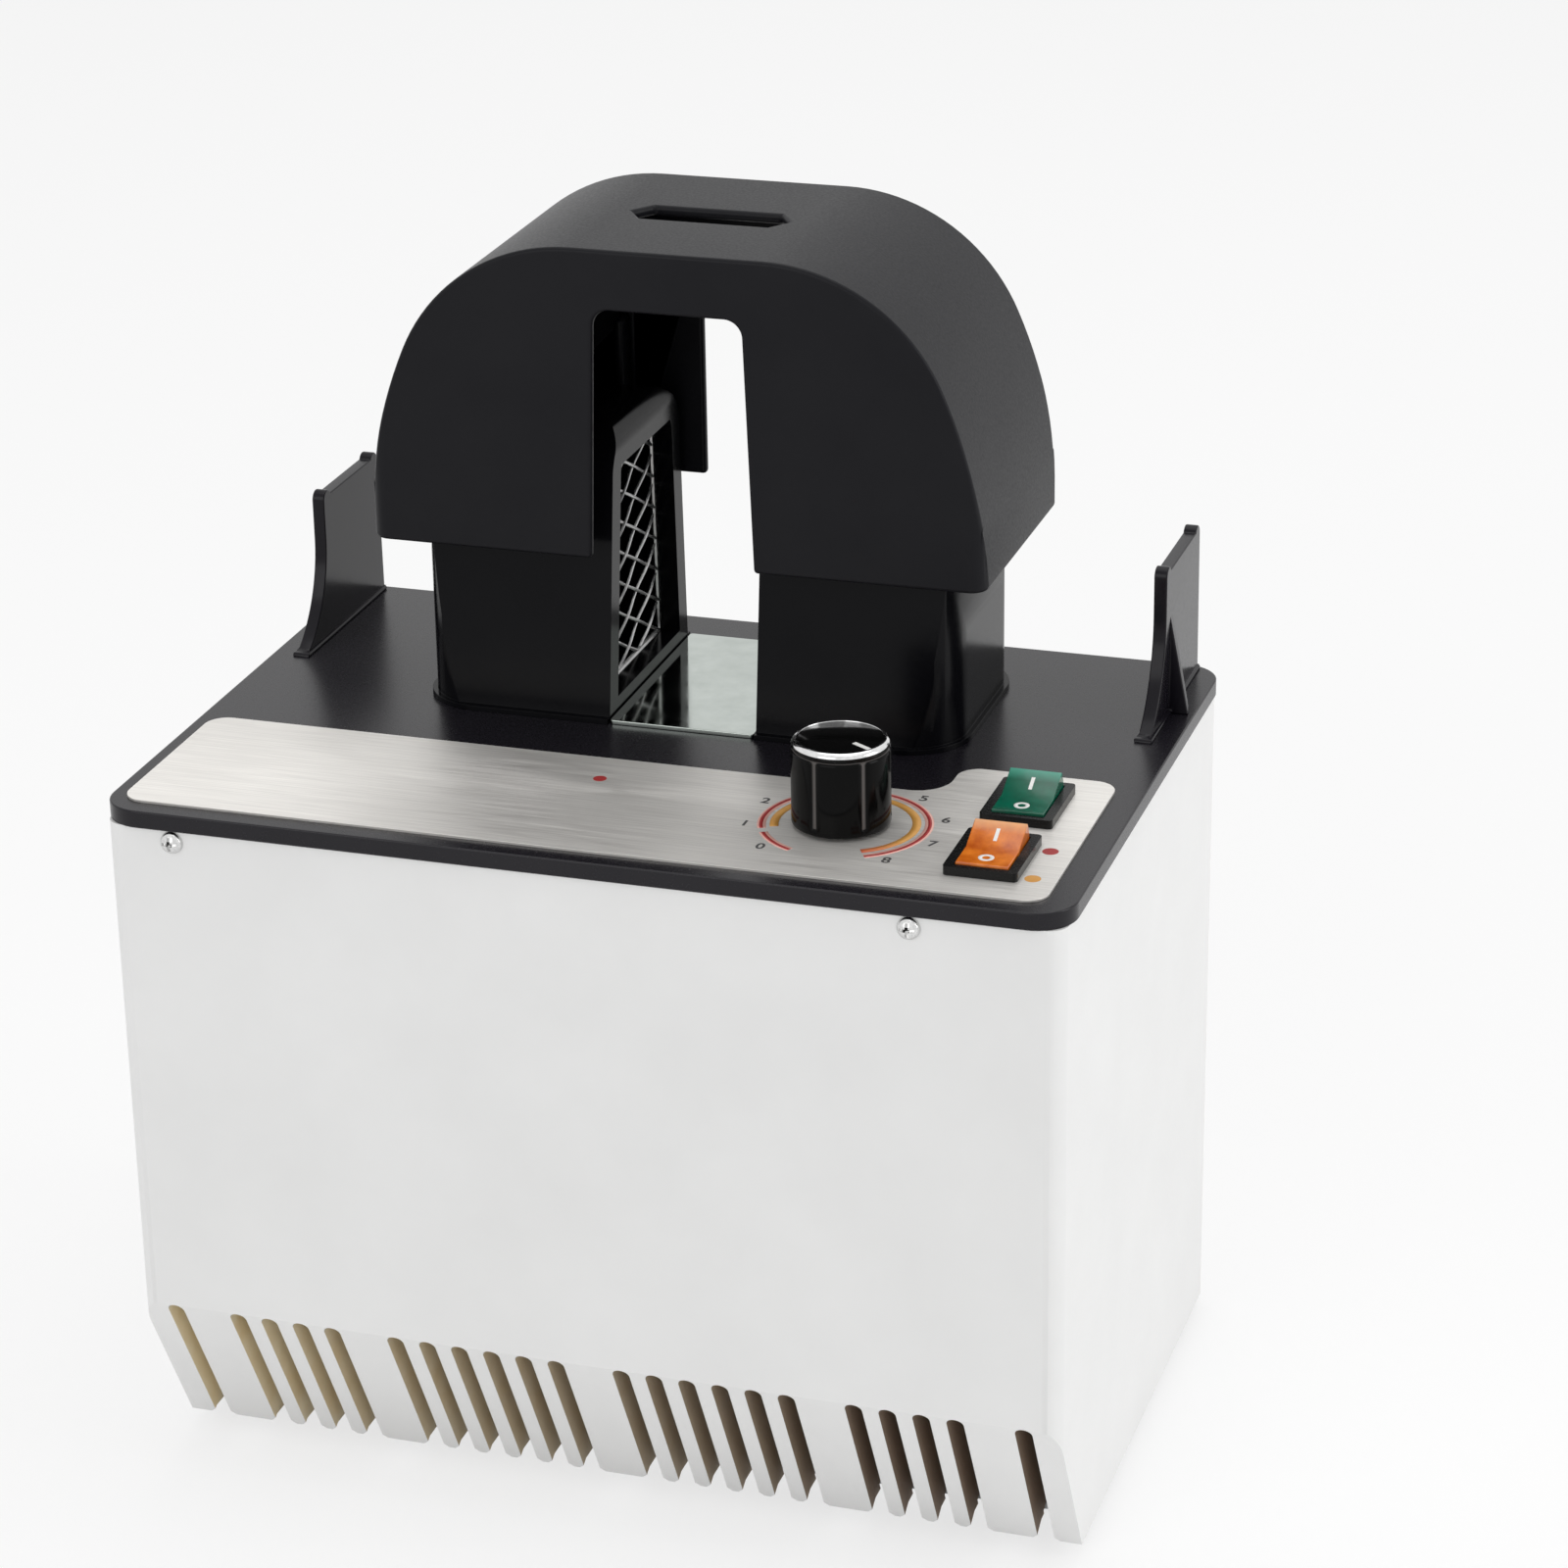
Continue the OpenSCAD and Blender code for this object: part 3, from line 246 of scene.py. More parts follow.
alloy = metal("alloy", (0.5, 0.5, 0.52), (0.62, 0.62, 0.64), (0.35, 0.5))
heater_wire = metal("heater_wire", (0.22, 0.19, 0.16), (0.38, 0.33, 0.28), (0.45, 0.6), 2)
pin_metal = metal("pin_metal", (0.62, 0.5, 0.26), (0.75, 0.62, 0.34), (0.18, 0.3))
print("metals ready")

# %% [markdown]
# ## Rockers, inks and the parts inside
# The two rockers are clear tinted plastic with a lamp underneath, so a little light passes through them,
# a clear coat mirrors the room, and a painted highlight makes the raised end paler. Inks are matt and thin.
# The broad band of the dial turns from orange to red at its hot end. What is inside the casing is seen
# only through the slots, but it gets its own finish as well, because the model may be opened.

# %% Tinted rockers, with a painted highlight on the raised end
def rocker_finish(name, dark, light, pale):
    finish = grained(name, dark, light, (0.16, 0.26), 1.5, 0.003, 4, Transmission_Weight=0.12,
                     Coat_Weight=0.25, Coat_Roughness=0.06, Specular_IOR_Level=0.3)
    tree = finish.node_tree
    level = panel_z / MM
    # Painted highlight: the base colour turns toward the pale tint up the raised end.
    toward(tree, tree.nodes["Principled BSDF"], ramp(tree, "Z", level + 4.4, level + 6.8), pale)
    return finish


# The third colour of each rocker is its painted highlight.
rocker_green = rocker_finish("rocker_green", (0.001, 0.09, 0.05), (0.002, 0.15, 0.085), (0.12, 0.55, 0.4))
rocker_orange = rocker_finish("rocker_orange", (0.52, 0.09, 0.004), (0.88, 0.24, 0.02), (0.98, 0.6, 0.28))
print("rocker finishes ready")

# %% Inks
ink_white = grained("ink_white", (0.8, 0.8, 0.78), (0.88, 0.88, 0.86), (0.4, 0.5), 0.4, 0.002, 3)
ink_red = grained("ink_red", (0.32, 0.02, 0.02), (0.4, 0.03, 0.03), (0.45, 0.55), 0.4, 0.002, 4)
ink_pink = grained("ink_pink", (0.78, 0.42, 0.36), (0.84, 0.5, 0.43), (0.45, 0.55), 0.4, 0.002, 4)
ink_orange = grained("ink_orange", (0.6, 0.28, 0.05), (0.7, 0.35, 0.08), (0.45, 0.55), 0.4, 0.002, 4)
ink_grey = grained("ink_grey", (0.035, 0.033, 0.033), (0.06, 0.058, 0.058), (0.45, 0.55), 0.4, 0.002, 4)
ink_dial = grained("ink_dial", (0.62, 0.3, 0.06), (0.72, 0.38, 0.1), (0.45, 0.55), 0.4, 0.002, 4)
dial_tree = ink_dial.node_tree
reddening = ramp(dial_tree, "Y", knob_y / MM - 6, knob_y / MM - 14)
toward(dial_tree, dial_tree.nodes["Principled BSDF"], reddening, (0.5, 0.09, 0.04))
print("inks ready")

# %% The slots' flanks, and what is inside
# The slot tan is partly the flanks' own colour and partly painted warm shade.
slot_tan = grained("slot_tan", (0.88, 0.74, 0.48), (0.96, 0.87, 0.66), (0.6, 0.75), 1.0, 0.03, 9)
slot_tree = slot_tan.node_tree
# Painted shade: the slot sides darken to brown toward the right.
painted_shade_to_right = ramp(slot_tree, "X", -95, 60)
toward(slot_tree, slot_tree.nodes["Principled BSDF"], painted_shade_to_right, (0.30, 0.22, 0.16))
grey_plastic = grained("grey_plastic", (0.36, 0.36, 0.35), (0.42, 0.42, 0.41), (0.4, 0.55), 0.8, 0.02)
black_plastic = grained("black_plastic", (0.01, 0.01, 0.01), (0.016, 0.016, 0.016), (0.35, 0.5), 0.7, 0.015)
mica = grained("mica", (0.42, 0.3, 0.15), (0.56, 0.43, 0.25), (0.4, 0.7), 2.5, 0.03, 8)
board_green = grained("board_green", (0.01, 0.09, 0.035), (0.02, 0.13, 0.05), (0.25, 0.35), 0.5, 0.01, 6)
white_plastic = grained("white_plastic", (0.68, 0.67, 0.62), (0.75, 0.74, 0.7), (0.35, 0.5), 0.8, 0.01)
yellow_case = grained("yellow_case", (0.55, 0.36, 0.02), (0.65, 0.44, 0.03), (0.3, 0.4), 0.6, 0.01)
print("slot and inner finishes ready")

# %% [markdown]
# ## Give every CAD solid its finish
# Each CAD solid keeps a material slot name in the record. A table from slot to finish dresses all the
# solids at once, the hidden ones too, and the pieces made later reuse the same finishes.

# %% Dress the CAD solids by their slots
FINISHES = {
    "white_casing": case_white, "black_cover": cover_black, "black_duct": duct_black,
    "black_hood": hood_black, "wire": mesh_wire, "polished_plate": plate_polished,
    "brushed_panel": panel_brushed, "black_knob": knob_black, "bright_ring": ring_bright,
    "steel": steel, "black_switch": switch_black, "green_rocker": rocker_green,
    "orange_rocker": rocker_orange, "screw": screw_bright, "zinc_sheet": zinc_sheet,
    "rubber": rubber_black, "grey_plastic": grey_plastic, "black_plastic": black_plastic,
    "mica": mica, "heater_wire": heater_wire, "board": board_green, "white_plastic": white_plastic,
    "alloy": alloy, "yellow_case": yellow_case, "pin_metal": pin_metal,
}
slot_of = {}
for row in frame["record"]["subparts"]:
    slot_of[row["node"]] = row["material_slot"]
for name, solid in frame["nodes"].items():
    solid.data.materials.clear()
    solid.data.materials.append(FINISHES[slot_of[name]])
print(len(slot_of), "CAD solids dressed in", len(FINISHES), "finishes")

# %% [markdown]
# ## Copies of CAD solids with rounded edges
# Real moulded and pressed pieces have no knife edges: a small round on each edge catches a line of light,
# and it is what makes a render look solid. A CAD solid arrives as loose triangles, so its copy is welded
# first and flat areas are joined again. Then the sharp edges that a rule picks are bevelled.


# %% Weld a copy of a CAD solid and join its flat areas
def welded_copy(node):
    shape = bmesh.new()
    shape.from_mesh(frame["nodes"][node].data)
    bmesh.ops.remove_doubles(shape, verts=shape.verts, dist=2e-6)
    bmesh.ops.dissolve_limit(shape, angle_limit=math.radians(0.6), verts=shape.verts, edges=shape.edges)
    return shape


# %% Bevel the sharp edges that a rule picks
def anywhere(a, b):
    return True


def soften(shape, radius_mm, steps=2, sharp=35, where=anywhere):
    picked = [e for e in shape.edges if e.is_manifold and e.calc_face_angle(0) > math.radians(sharp)
              and where(e.verts[0].co, e.verts[1].co)]
    if picked:
        bmesh.ops.bevel(shape, geom=picked, offset=radius_mm * MM, segments=steps, profile=0.5,
                        affect="EDGES", clamp_overlap=True)
    return len(picked)


# %% Turn a finished shape into a piece that rides on a body
def swap_modifiers_for_mesh(piece):
    view = bpy.context.evaluated_depsgraph_get()
    baked = bpy.data.meshes.new_from_object(piece.evaluated_get(view))
    piece.modifiers.clear()
    piece.data = baked


SMOOTH_BELOW = math.radians(35)


def make_piece(name, shape, finish):
    mesh = bpy.data.meshes.new(name)
    shape.to_mesh(mesh)
    shape.free()
    piece = bpy.data.objects.new(name, mesh)
    scene.collection.objects.link(piece)
    mesh.materials.append(finish)
    mesh.shade_smooth()
    mesh.set_sharp_from_angle(angle=SMOOTH_BELOW)
    shading = piece.modifiers.new("even shading", "WEIGHTED_NORMAL")
    shading.keep_sharp = True
    bpy.context.view_layer.update()
    swap_modifiers_for_mesh(piece)
    return piece


def rounded(node, name, finish, radius_mm, steps=2, sharp=35, where=anywhere):
    shape = welded_copy(node)
    count = soften(shape, radius_mm, steps, sharp, where)
    piece = make_piece(name, shape, finish)
    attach(piece, frame["nodes"][node]["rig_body"])
    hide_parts(node)
    print(f"{name}: {count} edges rounded to {radius_mm} mm, {len(piece.data.polygons)} faces")
    return piece


# %% [markdown]
# ## Casing
# The casing is one white moulding with a slanted, slotted band at the foot of its front. The slots' sides
# are tan, part their own colour and part painted warm shade, and painted shade turns them browner to the
# right. Each of those faces is found by its normal, which points along X, and its place in the band, and
# takes a second material. Painting them by hand would not follow a change of the slots.


# %% White casing with tan slot sides in painted shade
BAND_HIGH, BAND_DEEP, CASE_WALL = 41.5 * MM, 34 * MM, 4 * MM
SMALLEST_SIDE = 6 * MM * MM


def in_band(point):
    return point.z < case_low.z + BAND_HIGH and point.y < case_low.y + BAND_DEEP


casing = rounded("casing", "casing_shell", case_white, 0.35)
casing.data.materials.append(slot_tan)
tan_faces = 0
for face in casing.data.polygons:
    inside = abs(face.center.x) < case_high.x - CASE_WALL
    sideways = abs(face.normal.x) > 0.93
    if inside and sideways and in_band(face.center) and face.area > SMALLEST_SIDE:
        face.material_index = 1
        tan_faces += 1
print("slot sides in tan:", tan_faces)

# %% [markdown]
# ## Cover, ducts, hood and rests
# These are the black mouldings on top. The cover's rim is rolled over by about a millimetre, the hood's
# edges by a little less, and the ducts are crisp. They could be modelled again from scratch, but the CAD
# shapes are right already, so each takes the same bevel helper with its own radius.


# %% Cover with a rolled rim
RIM_WIDE, RIM_HIGH = 9.2 * MM, 4.1 * MM
cover_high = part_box("cover")[1]
rim_x, rim_y = cover_high.x - RIM_WIDE, cover_high.y - RIM_WIDE


def on_rim(a, b):
    upper = min(a.z, b.z) > top_z - RIM_HIGH
    return upper and all(abs(p.x) > rim_x or abs(p.y) > rim_y for p in (a, b))


rounded("cover", "cover_plate", cover_black, 1.1, 4, where=on_rim)

# %% Hood, ducts and side rests
rounded("hood", "hood_shell", hood_black, 0.9, 3, 40)
for side in ("left", "right"):
    rounded(side + "_duct", side + "_duct_shell", duct_black, 0.5, 2, 40)
    rounded(side + "_side_rest", side + "_rest", rest_black, 0.7, 2, 40)

# %% [markdown]
# ## Plates, switches and rockers
# Both plates are thin sheet, cut and deburred, so their edges are broken by less than a fifth of a
# millimetre. A rocker is one moulding with a concave top that tips about its pins in a black frame. It
# rides on its own body, and its bevel stays small to keep its fit in the frame.

# %% Plates
rounded("control_panel", "panel_plate", panel_brushed, 0.15, 2)
rounded("floor_plate", "mirror_plate", plate_polished, 0.15, 2)

# %% Switches and rockers
for use, colour in (("mains", rocker_green), ("heat", rocker_orange)):
    rounded(use + "_switch", use + "_switch_frame", switch_black, 0.45, 3)
    rounded(use + "_rocker", use + "_rocker_cap", colour, 0.35, 3)

# %% [markdown]
# ## Back and underside
# The mains inlet and the fuse holder are black mouldings in the back wall, and the feet are turned
# rubber pads. All of them are plain enough to keep their CAD shape with softer edges.

# %% Inlet, fuse holder and feet
rounded("mains_inlet", "inlet_body", black_plastic, 0.3)
rounded("fuse_holder", "fuse_cap", black_plastic, 0.4, 3)
rounded("feet", "rubber_feet", rubber_black, 0.6, 3)

# %% [markdown]
# ## Geometry trees with named sizes
# What repeats or follows a rule comes from Geometry Nodes. Each tree is built here with a named input for
# each size that matters, so it can be used again with other numbers. It ends by making instances real
# and setting the material. The result is then kept as a plain mesh, which any program can open.


# %% Start and end a geometry tree
def new_tree(name, **sizes):
    tree = bpy.data.node_groups.new(name, "GeometryNodeTree")
    tree.interface.new_socket("Geometry", in_out="INPUT", socket_type="NodeSocketGeometry")
    for label, value in sizes.items():
        kind = "NodeSocketInt" if isinstance(value, int) else "NodeSocketFloat"
        tree.interface.new_socket(label, in_out="INPUT", socket_type=kind).default_value = value
    tree.interface.new_socket("Geometry", in_out="OUTPUT", socket_type="NodeSocketGeometry")
    return tree, add(tree, "NodeGroupInput").outputs


def end_tree(tree, geometry, finish):
    real = add(tree, "GeometryNodeRealizeInstances", {"Geometry": geometry}).outputs[0]
    smooth = add(tree, "GeometryNodeSetShadeSmooth", {"Geometry": real}).outputs[0]
    dyed = add(tree, "GeometryNodeSetMaterial", {"Geometry": smooth, "Material": finish}).outputs[0]
    add(tree, "NodeGroupOutput", {"Geometry": dyed})


def calc(tree, operation, *values):
    return add(tree, "ShaderNodeMath", dict(enumerate(values)), operation=operation).outputs[0]


# %% Run a tree on a starting mesh and keep the result as a plain piece
def points_mesh(name, points, edges=()):
    mesh = bpy.data.meshes.new(name)
    mesh.from_pydata([[c * MM for c in p] for p in points], edges, [])
    return mesh


def grow(name, tree, start, place=(0, 0, 0), **sizes):
    piece = bpy.data.objects.new(name, start)
    scene.collection.objects.link(piece)
    grown = piece.modifiers.new("grown", "NODES")
    grown.node_group = tree
    for item in tree.interface.items_tree:
        if item.in_out == "INPUT" and item.name in sizes:
            grown[item.identifier] = sizes[item.name]
    bpy.context.view_layer.update()
    swap_modifiers_for_mesh(piece)
    shape = bmesh.new()
    shape.from_mesh(piece.data)
    bmesh.ops.recalc_face_normals(shape, faces=shape.faces)
    bmesh.ops.translate(shape, vec=Vector(place), verts=shape.verts)
    shape.to_mesh(piece.data)
    shape.free()
    piece.data.set_sharp_from_angle(angle=SMOOTH_BELOW)
    print(f"{name}: {len(piece.data.polygons)} faces")
    return piece


def fit(piece, body, slot, *nodes):
    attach(piece, body)
    if nodes:
        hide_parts(*nodes)
    return piece


# %% [markdown]
# ## A lathe for turned shapes
# A lathe turns a profile round an axis. The tree below does the same: it takes a grid, reads the profile
# point of each row, and wraps the row round Z. The profile's Y value says whether the knob's thin
# grooves cut at that point. One tree can turn the knob, its bright ring and the bands of the dial.


# %% The lathe tree
def lathe(name, finish):
    tree, size = new_tree(name, Sides=96, Start=0.0, Sweep=360.0, Panels=6.0, Groove=0.0, First=0.0)
    rows = add(tree, "GeometryNodeAttributeDomainSize", {"Geometry": size["Geometry"]}).outputs["Point Count"]
    grid = add(tree, "GeometryNodeMeshGrid", {
        "Size X": 1.0, "Size Y": 1.0, "Vertices X": calc(tree, "ADD", size["Sides"], 1), "Vertices Y": rows})
    where = add(tree, "GeometryNodeInputPosition").outputs[0]
    split = add(tree, "ShaderNodeSeparateXYZ", {0: where}).outputs
    share = calc(tree, "ADD", split["X"], 0.5)
    last = calc(tree, "SUBTRACT", rows, 1)
    row = calc(tree, "ROUND", calc(tree, "MULTIPLY", calc(tree, "ADD", split["Y"], 0.5), last))
    read = add(tree, "GeometryNodeSampleIndex", data_type="FLOAT_VECTOR", domain="POINT")
    tree.links.new(size["Geometry"], read.inputs["Geometry"])
    tree.links.new(where, read.inputs["Value"])
    tree.links.new(row, read.inputs["Index"])
    outline = add(tree, "ShaderNodeSeparateXYZ", {0: read.outputs[0]}).outputs
    turn = calc(tree, "ADD", size["Start"], calc(tree, "MULTIPLY", share, size["Sweep"]))
    angle = calc(tree, "RADIANS", turn)
    past = calc(tree, "SUBTRACT", angle, calc(tree, "RADIANS", size["First"]))
    wave = calc(tree, "COSINE", calc(tree, "MULTIPLY", calc(tree, "MULTIPLY", past, size["Panels"]), 0.5))
    notch = calc(tree, "POWER", calc(tree, "ABSOLUTE", wave), 40)
    cut = calc(tree, "MULTIPLY", calc(tree, "MULTIPLY", notch, size["Groove"]),
               calc(tree, "MULTIPLY", outline["Y"], 1000))
    radius = calc(tree, "SUBTRACT", outline["X"], cut)
    point = add(tree, "ShaderNodeCombineXYZ", {
        "X": calc(tree, "MULTIPLY", radius, calc(tree, "COSINE", angle)),
        "Y": calc(tree, "MULTIPLY", radius, calc(tree, "SINE", angle)), "Z": outline["Z"]}).outputs[0]
    moved = add(tree, "GeometryNodeSetPosition", {"Geometry": grid.outputs["Mesh"], "Position": point})
    closed = add(tree, "GeometryNodeMergeByDistance", {"Geometry": moved.outputs[0], "Distance": 1e-6})
    end_tree(tree, closed.outputs[0], finish)
    return tree


# %% [markdown]
# ## Knob
# The knob is a glossy black cylinder, parted into six broad panels by thin grooves. A bevelled bright ring
# closes its top round a black disc. The grooves are cut by the lathe tree, and the thin grey line in each is
# a painted highlight in the base colour, placed by the distance to the knob's axis so that it always lies in
# them.


# %% A painted highlight line at the bottom of each groove
def distance_to_knob_axis(tree):
    place = add(tree, "ShaderNodeTexCoord").outputs["Object"]
    flat = add(tree, "ShaderNodeVectorMath", {0: place, 1: (1, 1, 0)}, operation="MULTIPLY").outputs[0]
    axis = (knob_x, knob_y, 0)
    return add(tree, "ShaderNodeVectorMath", {0: flat, 1: axis}, operation="DISTANCE").outputs["Value"]


DISC_EDGE, GROOVE_FLOOR = (10.1 * MM, 10.2 * MM), (10.22 * MM, 10.42 * MM)
knob_tree = knob_black.node_tree
knob_reach = distance_to_knob_axis(knob_tree)
in_groove = spread(knob_tree, knob_reach, 1, 0, *GROOVE_FLOOR)
off_disc = spread(knob_tree, knob_reach, 0, 1, *DISC_EDGE)
painted_groove_highlight = add(knob_tree, "ShaderNodeMath", {0: in_groove, 1: off_disc}, operation="MULTIPLY").outputs[0]
# Painted highlight: the base colour lightens to grey on the groove floors, away from the top disc.
toward(knob_tree, knob_tree.nodes["Principled BSDF"], painted_groove_highlight, (0.13, 0.12, 0.115))
print("worn lines from", DISC_EDGE[1] / MM, "to", GROOVE_FLOOR[1] / MM, "mm off the knob's axis")

# %% Knob, with six broad panels between thin grooves
knob_profile = [
    (0, 0, 15), (3.05, 0, 15), (3.05, 0, 6), (7, 0, 6), (7, 0, 0.1), (7.1, 0, 0), (10.4, 0, 0),
    (10.6, 0, 0.15), (10.7, 0, 0.5), (10.7, 0, 1.2), (10.7, 1, 1.7),
    (10.7, 1, 16.2), (10.6, 1, 16.5), (10.3, 0, 16.8), (10.1, 0, 16.9), (10.1, 0, 17.2), (10.5, 0, 17.4),
    (10.6, 0, 17.6), (10.5, 0, 17.8), (0, 0, 17.8)]
knob_place = (knob_x, knob_y, knob_low.z)
knob_body = grow("knob_body", lathe("knob lathe", knob_black), points_mesh("knob profile", knob_profile),
                 knob_place, Sides=360, Groove=0.45 * MM, First=14.0)
fit(knob_body, "knob", "black_knob", "knob")

# %% Bright ring and dark disc on the knob
ring_profile = [(9.2, 0, 0.1), (9.2, 0, 1.05), (9.25, 0, 1.13), (9.35, 0, 1.17), (9.45, 0, 1.16),
                (9.7, 0, 1.06), (10.0, 0, 0.84), (10.25, 0, 0.54), (10.4, 0, 0.3), (10.4, 0, 0.1),
                (9.2, 0, 0.1)]
disc_profile = [(0, 0, 0), (9.25, 0, 0), (9.25, 0, 0.96), (9.15, 0, 1.02), (0, 0, 1.02)]
ring_place = (knob_x, knob_y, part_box("knob_cap")[0].z)
knob_ring = grow("knob_ring", lathe("ring lathe", ring_bright), points_mesh("ring profile", ring_profile),
                 ring_place, Sides=144)
knob_disc = grow("knob_disc", lathe("disc lathe", knob_black), points_mesh("disc profile", disc_profile),
                 ring_place, Sides=144)
fit(knob_ring, "knob", "bright_ring", "knob_cap")
fit(knob_disc, "knob", "black_knob")

# %% [markdown]
# ## Printed marks
# The dial round the knob is two printed bands: a thin dark red one with a pale edge and a gap in it, and
# a broad orange one inside. Numbers stand round it where the panel has room. Prints could be painted in
# the panel's material, but hair-thin solids a few hundredths of a millimetre high stay sharp up close.
# At rest the front half of a rocker lies level with its circle, and the half with the line is tipped.


# %% Bands of the dial
PRINT_THICK, PRINT_STEP = 0.03 * MM, 0.02 * MM
PALE_EDGE, RED_BAND, ORANGE_BAND = (16.9, 18.8), (17.55, 18.35), (14.2, 16.1)
RED_ARCS = {"long": (-61.0, 264.0), "short": (210.0, 36.0)}


def band(name, finish, inner, outer, start, sweep, place, body="chassis", slot="brushed_panel"):
    line = points_mesh(name + " profile", [(inner, 0, 0), (outer, 0, 0)])
    piece = grow(name, lathe(name + " lathe", finish), line, Sides=96, Start=start, Sweep=sweep)
    thick = piece.modifiers.new("thick", "SOLIDIFY")
    thick.thickness, thick.offset = PRINT_THICK, -1
    bpy.context.view_layer.update()
    swap_modifiers_for_mesh(piece)
    heights = [v.co.z for v in piece.data.vertices]
    print(f"{name}: from {min(heights) / MM:.3f} to {max(heights) / MM:.3f} mm above its place")
    piece.data.transform(Matrix.Translation(place))
    return fit(piece, body, slot)


dial = Vector((knob_x + 0.9 * MM, knob_y, panel_z))
raised = dial + Vector((0, 0, PRINT_STEP))
for length, arc in RED_ARCS.items():
    band("dial_edge_" + length, ink_pink, *PALE_EDGE, *arc, dial)
for length, arc in RED_ARCS.items():
    band("dial_red_" + length, ink_red, *RED_BAND, *arc, raised)
band("dial_orange", ink_dial, *ORANGE_BAND, -61.0, 262.0, raised)


# %% Flat prints built from polygons
def printed(name, finish, outlines, height, body, slot, turn=None, place=(0, 0, 0)):
    shape = bmesh.new()
    for outline in outlines:
        low = [shape.verts.new((x * MM, y * MM, 0)) for x, y in outline]
        top = bmesh.ops.extrude_face_region(shape, geom=[shape.faces.new(low)])["geom"]
        upper = [v for v in top if isinstance(v, bmesh.types.BMVert)]
        bmesh.ops.translate(shape, vec=(0, 0, height * MM), verts=upper)
    bmesh.ops.recalc_face_normals(shape, faces=shape.faces)
    if turn:
        bmesh.ops.transform(shape, matrix=turn, verts=shape.verts)
    bmesh.ops.translate(shape, vec=Vector(place), verts=shape.verts)
    return fit(make_piece(name, shape, finish), body, slot)


def disc(x, y, radius, sides=40):
    return [(x + radius * math.cos(2 * math.pi * i / sides), y + radius * math.sin(2 * math.pi * i / sides))
            for i in range(sides)]


# %% Three round marks on the panel
MARK_X, MARK_RADIUS, MARK_HIGH = 96.4, 1.75, 0.02
panel_top = (0, 0, panel_z)
red_discs = [disc(MARK_X, -42.4, MARK_RADIUS), disc(-7.8, -30, 1.5)]
printed("red_marks", ink_red, red_discs, MARK_HIGH, "chassis", "brushed_panel", place=panel_top)
orange_disc = disc(MARK_X, -57.0, MARK_RADIUS)
printed("orange_mark", ink_orange, [orange_disc], MARK_HIGH, "chassis", "brushed_panel", place=panel_top)
print("marks on the panel: 2 red, 1 orange")

# %% Pointer line on the knob
POINTER_ANGLE, POINTER_HIGH = -32, 0.1
pointer_turn = Matrix.Rotation(math.radians(POINTER_ANGLE), 4, "Z")
pointer_line = [(4.3, -0.55), (9.2, -0.55), (9.2, 0.55), (4.3, 0.55)]
printed("knob_pointer", ink_white, [pointer_line], POINTER_HIGH, "knob",
        "bright_ring", pointer_turn, (knob_x, knob_y, ring_place[2] + 1.0 * MM))
print("pointer at", POINTER_ANGLE, "degrees")

# %% Numbers round the dial, where the panel has room for them
ZERO_ANGLE, ANGLE_STEP, NUMBER_REACH = 230, 35, 21.4 * MM
sheet = welded_copy("control_panel")
sheet_faces = BVHTree.FromBMesh(sheet)
sheet.free()


def on_panel(x, y):
    return sheet_faces.ray_cast(Vector((x, y, panel_z + 5 * MM)), Vector((0, 0, -1)))[0] is not None


def add_number(shape, number, x, y):
    text = bpy.data.curves.new("number", "FONT")
    text.body, text.size, text.extrude, text.offset = str(number), 4.0 * MM, 0.015 * MM, 0.09 * MM
    text.align_x, text.align_y = "CENTER", "CENTER"
    holder = bpy.data.objects.new("number", text)
    scene.collection.objects.link(holder)
    bpy.context.view_layer.update()
    view = bpy.context.evaluated_depsgraph_get()
    figure = bpy.data.meshes.new_from_object(holder.evaluated_get(view))
    figure.transform(Matrix.Translation((x, y, panel_z)))
    shape.from_mesh(figure)
    bpy.data.objects.remove(holder)


numbers = bmesh.new()
shown = []
for step in range(9):
    angle = math.radians(ZERO_ANGLE - ANGLE_STEP * step)
    x, y = dial.x + NUMBER_REACH * math.cos(angle), dial.y + NUMBER_REACH * math.sin(angle)
    if all(on_panel(x + i * MM, y + j * MM) for i in (-1.5, 1.5) for j in (-2, 2)):
        shown.append(step)
        add_number(numbers, step, x, y)
fit(make_piece("dial_numbers", numbers, ink_grey), "chassis", "brushed_panel")
print("numbers printed:", shown)

# %% Line and circle on each rocker
ROCKER_TIP, LINE_HIGH = math.radians(12), 0.03
circle_middle = Vector((0, -4.7 * MM, 0))
line_outline = [(-0.4, 2.3), (0.4, 2.3), (0.4, 5.9), (-0.4, 5.9)]
line_slope = Matrix.Rotation(2 * ROCKER_TIP, 4, "X")
for use in ("mains", "heat"):
    low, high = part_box(use + "_rocker")
    switch_low, switch_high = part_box(use + "_switch")
    pivot = Vector(((low.x + high.x) / 2, (switch_low.y + switch_high.y) / 2, panel_z + 0.5 * MM))
    fold = pivot + Vector((0, -2 * math.sin(ROCKER_TIP), 2 * math.cos(ROCKER_TIP))) * MM
    body, slot = use + "_rocker", slot_of[use + "_rocker"]
    band(use + "_circle", ink_white, 0.85, 1.7, 0.0, 360.0, fold + circle_middle, body, slot)
    printed(use + "_line", ink_white, [line_outline], LINE_HIGH, body, slot, line_slope, fold)

# %% [markdown]
# ## Wire mesh in the ducts
# Each duct's mouth is closed by crossed wires that make long diamonds. The straight lines of the pattern
# are clipped to the opening first. A geometry tree then waves each line over and under its neighbours
# and gives it a round section. The frame round the mesh uses the same tree with a thicker wire.


# %% The wire tree
RUN, RISE = 14.5, 7.5


